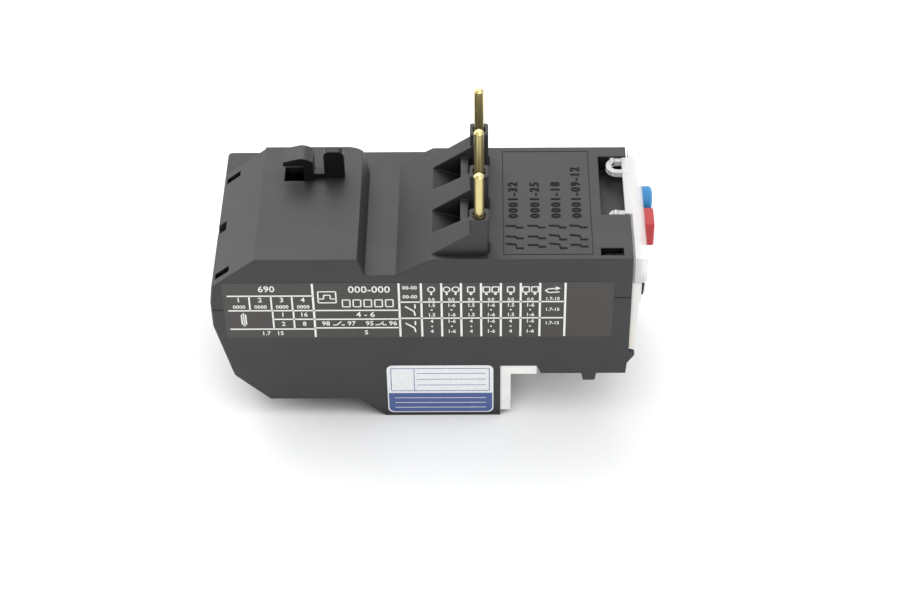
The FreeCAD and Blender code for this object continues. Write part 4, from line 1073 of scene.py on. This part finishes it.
@dataclass
class RatingLabel:
    """The dark label with its table on the near side.

    Lines are listed as their two ends with the places where they are repeated.
    """

    low: Point = (2.8, 24.3)
    high: Point = (85.8, 40.3)
    corner: float = 0.6
    film_height: float = 0.05
    ink_top: float = 0.07
    ink_foot: float = 0.045
    line: float = 0.45
    thin_line: float = 0.36
    margin: float = 0.2
    dividers: tuple[float, ...] = (22.0, 40.3, 45.0, 49.3, 53.45, 57.7, 61.9, 66.1, 70.2, 75.55)
    level_lines: tuple[tuple[Point, tuple[float, ...]], ...] = (
        ((3.7, 22.0), (36.6, 32.35, 26.9)), ((13.1, 22.0), (29.8,)),
        ((22.0, 40.3), (32.35, 29.75, 27.2)), ((40.3, 75.55), (34.7, 29.95)))
    upright_lines: tuple[tuple[Point, tuple[float, ...]], ...] = (
        ((32.35, 36.6), (8.4, 13.05, 17.5)), ((26.9, 32.35), (13.15, 17.6)))
    texts: tuple[tuple[str, Point, float], ...] = (
        ("690", (12.2, 38.5), 1.7), ("16", (19.8, 31.1), 1.2), ("8", (19.8, 28.4), 1.2),
        ("1", (15.3, 31.1), 1.2), ("2", (15.3, 28.4), 1.2), ("1.7   15", (12.8, 25.6), 1.1),
        ("000-000", (34.0, 38.3), 1.9), ("4 - 6", (33.0, 31.05), 1.5), ("5", (33.0, 25.75), 1.2),
        ("98", (24.4, 28.45), 1.25), ("97", (29.9, 28.45), 1.25), ("95", (33.8, 28.45), 1.25),
        ("96", (38.8, 28.45), 1.25), ("00-00", (42.6, 38.8), 0.95), ("00-00", (42.6, 36.2), 0.95))
    symbols: tuple[tuple[Symbol, Point], ...] = (
        (Symbol.FUSE, (6.85, 29.7)), (Symbol.OVERLOAD, (25.0, 36.2)),
        (Symbol.OPEN_CONTACT, (27.2, 28.45)), (Symbol.CLOSED_CONTACT, (36.2, 28.45)),
        (Symbol.SWITCH, (42.7, 32.3)), (Symbol.SWITCH, (42.7, 27.4)))
    head_places: tuple[float, ...] = (6.1, 10.7, 15.3, 19.8)
    head_level: float = 35.4
    head_size: float = 1.3
    code_level: float = 33.4
    small_size: float = 0.95
    window_places: tuple[float, ...] = (29.0, 31.3, 33.6, 35.9, 38.2)
    window_level: float = 34.4
    wire_level: float = 37.9
    wire_spread: float = 0.95
    unit_level: float = 35.4
    unit_size: float = 0.8
    value_levels: tuple[float, ...] = (33.7, 30.9, 29.0, 26.0)
    dash_levels: tuple[float, ...] = (32.35, 27.5)
    turn_level: float = 38.0
    torque_levels: tuple[float, ...] = (35.5, 32.4, 28.4)
    torque_size: float = 0.85

    def build(self) -> None:
        """Build the film and the print."""
        film = Relief(side_face(), self.film_height)
        film.patch(rounded_outline(self.low, self.high, self.corner))
        film.finish("label_film", Look.LABEL)
        ink = Relief(side_face(), self.ink_top, -self.ink_foot)
        self.grid(ink)
        for text, at, size in self.texts:
            ink.figures(text, at, size)
        for symbol, at in self.symbols:
            ink.symbol(symbol, at)
        for number, place in enumerate(self.head_places, 1):
            ink.figures(str(number), (place, self.head_level), self.head_size)
            ink.figures("0000", (place, self.code_level), self.small_size)
        for place in self.window_places:
            ink.symbol(Symbol.WINDOW, (place, self.window_level))
        self.wire_columns(ink)
        ink.finish("label_print", Look.PRINT)

    def grid(self, ink: Relief) -> None:
        """Draw the lines of the table.

        Args:
            ink: the drawing.
        """
        bottom, top = self.low[1] + self.margin, self.high[1] - self.margin
        for divider in self.dividers:
            ink.bar((divider, bottom), (divider, top), self.line)
        for (start, end), levels in self.level_lines:
            for level in levels:
                ink.bar((start, level), (end, level), self.thin_line)
        for (start, end), places in self.upright_lines:
            for place in places:
                ink.bar((place, start), (place, end), self.thin_line)

    def wire_columns(self, ink: Relief) -> None:
        """Draw the wire symbols and figures of the right columns.

        Args:
            ink: the drawing.
        """
        *edges, last = self.dividers[2:]
        for number, (start, end) in enumerate(zip(edges, edges[1:])):
            middle = (start + end) / 2
            double = number % 2 == 1
            wire = Symbol.SLEEVED_WIRE if number > 1 else Symbol.BARE_WIRE
            for offset in (-self.wire_spread, self.wire_spread) if double else (0.0,):
                ink.symbol(wire, (middle + offset, self.wire_level))
            ink.figures("0.0", (middle, self.unit_level), self.unit_size)
            for level, single in zip(self.value_levels, ("1.5", "1.5", "4", "4")):
                ink.figures("1-6" if double else single, (middle, level), self.small_size)
            for level in self.dash_levels:
                ink.symbol(Symbol.DASH, (middle, level))
        middle = (edges[-1] + last) / 2
        ink.symbol(Symbol.TURN, (middle, self.turn_level))
        for level in self.torque_levels:
            ink.figures("1.7-15", (middle, level), self.torque_size)


@dataclass
class TypeSticker:
    """The white and blue sticker on the foot."""

    low: Point = (36.9, 1.0)
    high: Point = (60.3, 15.6)
    band_top: float = 7.1
    corner: float = 1.3
    rim: float = 0.25
    inset: float = 0.9
    line_inset: float = 1.6
    divider: float = 6.0
    line_start: float = 6.6
    band_gap: float = 0.7
    line: float = 0.14
    frame_line: float = 0.16
    ink_levels: tuple[float, ...] = (9.6, 11.4, 13.2)
    pale_levels: tuple[float, ...] = (5.6, 4.1, 2.6)
    paper_top: float = 0.06
    band_relief: Point = (0.08, -0.05)
    pale_relief: Point = (0.1, -0.07)

    def build(self) -> None:
        """Build the paper, the band and their lines."""
        face = side_face()
        left, right = self.low[0], self.high[0]
        paper = Relief(face, self.paper_top)
        paper.patch(rounded_outline(self.low, self.high, self.corner))
        paper.finish("sticker_paper", Look.PAPER)
        low = (left + self.rim, self.low[1] + self.rim)
        high = (right - self.rim, self.high[1])
        lower = [point for point in rounded_outline(low, high, self.corner)
                 if point[1] < self.band_top]
        band = Relief(face, *self.band_relief)
        band.patch([(high[0], self.band_top), (low[0], self.band_top)] + lower)
        band.finish("sticker_band", Look.BAND)
        ink = Relief(face, *self.band_relief)
        bottom, top = self.band_top + self.band_gap, self.high[1] - self.inset
        ink.path(box_outline((left + self.inset, bottom), (right - self.inset, top)),
                 self.frame_line)
        for level in self.ink_levels:
            ink.bar((left + self.line_start, level), (right - self.line_inset, level), self.line)
        ink.bar((left + self.divider, bottom), (left + self.divider, top), self.line)
        ink.finish("sticker_lines", Look.BAND)
        pale = Relief(face, *self.pale_relief)
        for level in self.pale_levels:
            pale.bar((left + self.line_inset, level), (right - self.line_inset, level), self.line)
        pale.finish("sticker_pale_lines", Look.PAPER)


@dataclass
class FrontPrint:
    """The printed scale and numbers of the cream panel, and the mark on the stop button."""

    tick_count: int = 9
    tick_middle: float = 90.0
    tick_sweep: float = 240.0
    tick_inner: float = 4.75
    tick_outer: float = 5.35
    tick_width: float = 0.22
    top_margin: float = 2.2
    ends: tuple[tuple[int, str], ...] = ((-1, "4"), (1, "6"))
    end_place: Point = (4.3, -3.75)
    end_size: float = 1.2
    ink_height: float = 0.04
    numbers: tuple[str, ...] = ("97", "98", "95", "96")
    number_pitch: float = 10.6
    number_size: float = 1.9
    number_rise: float = 2.0
    number_sunk: float = 0.05
    box_half: Point = (7.6, 1.5)
    box_line: float = 0.2
    taper: float = 0.5
    taper_height: float = 13.4
    stop_size: float = 2.4
    stop_bold: float = 0.05
    stop_height: float = 0.06

    def build(self) -> None:
        """Build the scale, the terminal numbers and the stop button's mark."""
        self.dial_scale()
        self.terminal_numbers()
        self.stop_mark()

    def front_face(self, node: str) -> Face:
        """The front of a node, with u and v from its middle.

        Args:
            node: the node.

        Returns:
            The face.
        """
        low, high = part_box(node)
        middle = (low + high) / 2
        return Face(Vector((high.x, middle.y, middle.z)), ACROSS, UP, FORWARD)

    def dial_scale(self) -> None:
        """Print ticks and end figures round the dial, where the panel carries them."""
        face = self.front_face("setting_dial")
        ceiling = (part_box("front_panel")[1].z - face.origin.z) / MM - self.top_margin
        scale = Relief(face, self.ink_height)
        for i in range(self.tick_count):
            turn = self.tick_sweep * (i / (self.tick_count - 1) - 0.5)
            angle = math.radians(self.tick_middle + turn)
            near, far = [(radius * math.cos(angle), radius * math.sin(angle))
                         for radius in (self.tick_inner, self.tick_outer)]
            if far[1] < ceiling:
                scale.bar(near, far, self.tick_width)
        for side, figure in self.ends:
            scale.figures(figure, (side * self.end_place[0], self.end_place[1]), self.end_size)
        scale.finish("dial_scale", Look.INK)

    def terminal_numbers(self) -> None:
        """Print the auxiliary terminals' numbers on the sloping lower part of the panel."""
        low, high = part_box("front_panel")
        foot = Vector((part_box("setting_dial")[1].x, (low.y + high.y) / 2, low.z))
        slope = Vector((self.taper, 0.0, self.taper_height)).normalized()
        face = Face(foot - FORWARD * self.taper * MM, ACROSS, slope, ACROSS.cross(slope))
        ink = Relief(face, self.ink_height, self.number_sunk)
        half = (len(self.numbers) - 1) / 2
        for place, number in enumerate(self.numbers):
            ink.figures(number, ((place - half) * self.number_pitch, self.number_rise),
                        self.number_size)
        half_u, half_v = self.box_half
        for middle in (-self.number_pitch, self.number_pitch):
            ink.path(box_outline((middle - half_u, self.number_rise - half_v),
                                 (middle + half_u, self.number_rise + half_v)), self.box_line)
        ink.finish("terminal_numbers", Look.INK)

    def stop_mark(self) -> None:
        """Raise a plain zero on the face of the stop button."""
        mark = Relief(self.front_face("stop_button"), self.stop_height)
        mark.figures("0", (0.0, 0.0), self.stop_size, bold=self.stop_bold)
        mark.finish("stop_mark", Look.PRINT, Body.STOP)


@dataclass
class PinGaps:
    """The dark gaps round the pins in the mouths of their chimneys."""

    reach: float = 10.85
    radius: float = 1.16
    width: float = 0.18
    height: float = 0.012
    sunk: float = 0.01

    def build(self) -> None:
        """Build a ring on each pin's shoulder."""
        for number, body in zip(POLES, (Body.PLUG_1, Body.PLUG_2, Body.PLUG_3)):
            low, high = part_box(f"plug_pin_{number}")
            half = (high.x - low.x) / 2
            shoulder = Vector((low.x + half, low.y + half, high.z - self.reach * MM))
            ring = Relief(Face(shoulder, FORWARD, ACROSS, UP), self.height, self.sunk)
            ring.path(ring_outline((0.0, 0.0), self.radius), self.width)
            ring.finish(f"pin_gap_{number}", Look.SEAM, body=body)


@dataclass
class ButtonSprings:
    """The coil springs behind the two buttons."""

    buttons: tuple[str, ...] = ("stop", "reset")
    wire: float = 0.45
    travel: float = 2.0
    turns: int = 4
    turn_steps: int = 24
    sides: int = 10

    def build(self) -> None:
        """Build a coil in place of each CAD spring."""
        for button in self.buttons:
            node = f"{button}_spring"
            low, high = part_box(node)
            piece = place_piece(self.coil(low, high), f"{button}_coil", Look.METAL)
            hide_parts(node)
            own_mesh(piece)

    def coil(self, low: Vector, high: Vector) -> bmesh.types.BMesh:
        """Wind a round wire along X.

        Args:
            low: lower corner of the spring's box, in metres.
            high: upper corner of the spring's box, in metres.

        Returns:
            The wire's mesh.
        """
        build = bmesh.new()
        half = self.wire * MM / 2
        centre = (low + high) / 2
        radius = (high.y - low.y) / 2 - half
        count = self.turns * self.turn_steps
        around = [math.tau * side / self.sides for side in range(self.sides)]
        rings = []
        for step in range(count + 1):
            angle = math.tau * step / self.turn_steps
            out = Vector((0.0, math.cos(angle), math.sin(angle)))
            middle = centre + out * radius
            middle.x = low.x + half + (high.x - low.x - 2 * half) * step / count
            spokes = [FORWARD * math.cos(a) + out * math.sin(a) for a in around]
            rings.append([build.verts.new(middle + spoke * half) for spoke in spokes])
        for one, two in zip(rings, rings[1:]):
            for side in range(self.sides):
                corners = (one[side - 1], one[side], two[side], two[side - 1])
                build.faces.new(corners).smooth = True
        for ring in (rings[0], rings[-1]):
            build.faces.new(ring)
        return build


@dataclass(frozen=True)
class Softbox:
    """A square soft light that faces the object.

    Args:
        name: its name.
        place: where it hangs, in metres.
        size: its side in metres.
        power: its power in watts.
    """

    name: str
    place: Triple
    size: float
    power: float

    def build(self) -> None:
        """Hang the light."""
        lamp = bpy.data.lights.new(self.name, "AREA")
        lamp.size = self.size
        lamp.energy = self.power
        holder = bpy.data.objects.new(self.name, lamp)
        holder.location = self.place
        holder.rotation_mode = "QUATERNION"
        holder.rotation_quaternion = (-Vector(self.place)).to_track_quat("-Z", "Y")
        bpy.context.scene.collection.objects.link(holder)


@dataclass
class Studio:
    """White paper, soft light from above and behind, and the camera."""

    lights: tuple[Softbox, ...] = (
        Softbox("back_softbox", (-0.2, 0.6, 0.74), 0.9, 5.2),
        Softbox("top_softbox", (0.4, -0.4, 1.1), 1.4, 6.8),
        Softbox("left_softbox", (-0.85, 0.4, 0.2), 0.45, 1.9))
    floor_half: float = 3.0
    floor_profile: tuple[Point, ...] = ((-3.0, 0.0), (1.8, 0.0), (2.55, 0.15), (3.0, 0.6))
    sky_strength: float = 0.85
    sky_colour: Rgba = (0.98, 0.99, 1.0, 1.0)
    backdrop: Rgba = (1.0, 1.0, 1.0, 1.0)
    camera_place: Triple = (0.010827, -0.35528, 0.347738)
    camera_forward: Triple = (-0.0164759, 0.7288433, -0.6844822)
    camera_up: Triple = (0.0041757, 0.6846194, 0.7288888)
    focal_length: float = 86.02
    sensor: float = 36.0
    clip: Point = (0.01, 50.0)

    def build(self) -> None:
        """Build the stage, the lights, the sky and the camera."""
        self.floor()
        for light in self.lights:
            light.build()
        self.sky()
        self.camera()
        bpy.context.scene.view_settings.view_transform = "Standard"

    def floor(self) -> None:
        """Lay the paper, which curves up at its far edge."""
        mesh = bpy.data.meshes.new("paper")
        build = bmesh.new()
        rows = [[build.verts.new((x, y, z)) for x in (-self.floor_half, self.floor_half)]
                for y, z in self.floor_profile]
        for one, two in zip(rows, rows[1:]):
            build.faces.new((one[0], one[1], two[1], two[0]))
        build.to_mesh(mesh)
        build.free()
        mesh.materials.append(material(Look.FLOOR))
        paper = bpy.data.objects.new("paper", mesh)
        bpy.context.scene.collection.objects.link(paper)

    def sky(self) -> None:
        """White surroundings for what the camera sees, softer ones for the light."""
        world = bpy.data.worlds.new("studio")
        world.use_nodes = True
        graph = ShaderGraph(world.node_tree)
        path = graph.node("ShaderNodeLightPath", {})
        seen, through = [Signal(graph, path.outputs[name])
                         for name in ("Is Camera Ray", "Is Transmission Ray")]
        inputs = {"Color": self.sky_colour, "Strength": self.sky_strength}
        soft = graph.signal("ShaderNodeBackground", 0, inputs)
        white = graph.signal("ShaderNodeBackground", 0, {"Color": self.backdrop})
        share = (seen + through).clamp()
        mixed = graph.signal("ShaderNodeMixShader", 0, {0: share, 1: soft, 2: white})
        graph.node("ShaderNodeOutputWorld", {0: mixed})
        bpy.context.scene.world = world

    def camera(self) -> None:
        """Set the camera where the photograph was taken."""
        lens = bpy.data.cameras.new("camera")
        lens.sensor_fit = "HORIZONTAL"
        lens.sensor_width = self.sensor
        lens.lens = self.focal_length
        lens.clip_start, lens.clip_end = self.clip
        holder = bpy.data.objects.new("camera", lens)
        forward = Vector(self.camera_forward).normalized()
        right = forward.cross(Vector(self.camera_up)).normalized()
        turn = Matrix((right, right.cross(forward), -forward)).transposed()
        holder.matrix_world = Matrix.Translation(Vector(self.camera_place)) @ turn.to_4x4()
        bpy.context.scene.collection.objects.link(holder)
        bpy.context.scene.camera = holder


def main() -> None:
    """Build the relay on its frame and set it in the studio."""
    logging.basicConfig(level=logging.INFO)
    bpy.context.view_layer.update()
    for assembly in (Dressing(), DeckTable(), ChimneyFeet(), PartingLine(), RatingLabel(),
                     TypeSticker(), FrontPrint(), PinGaps(), ButtonSprings(), Studio()):
        assembly.build()


if __name__ == "__main__":
    main()
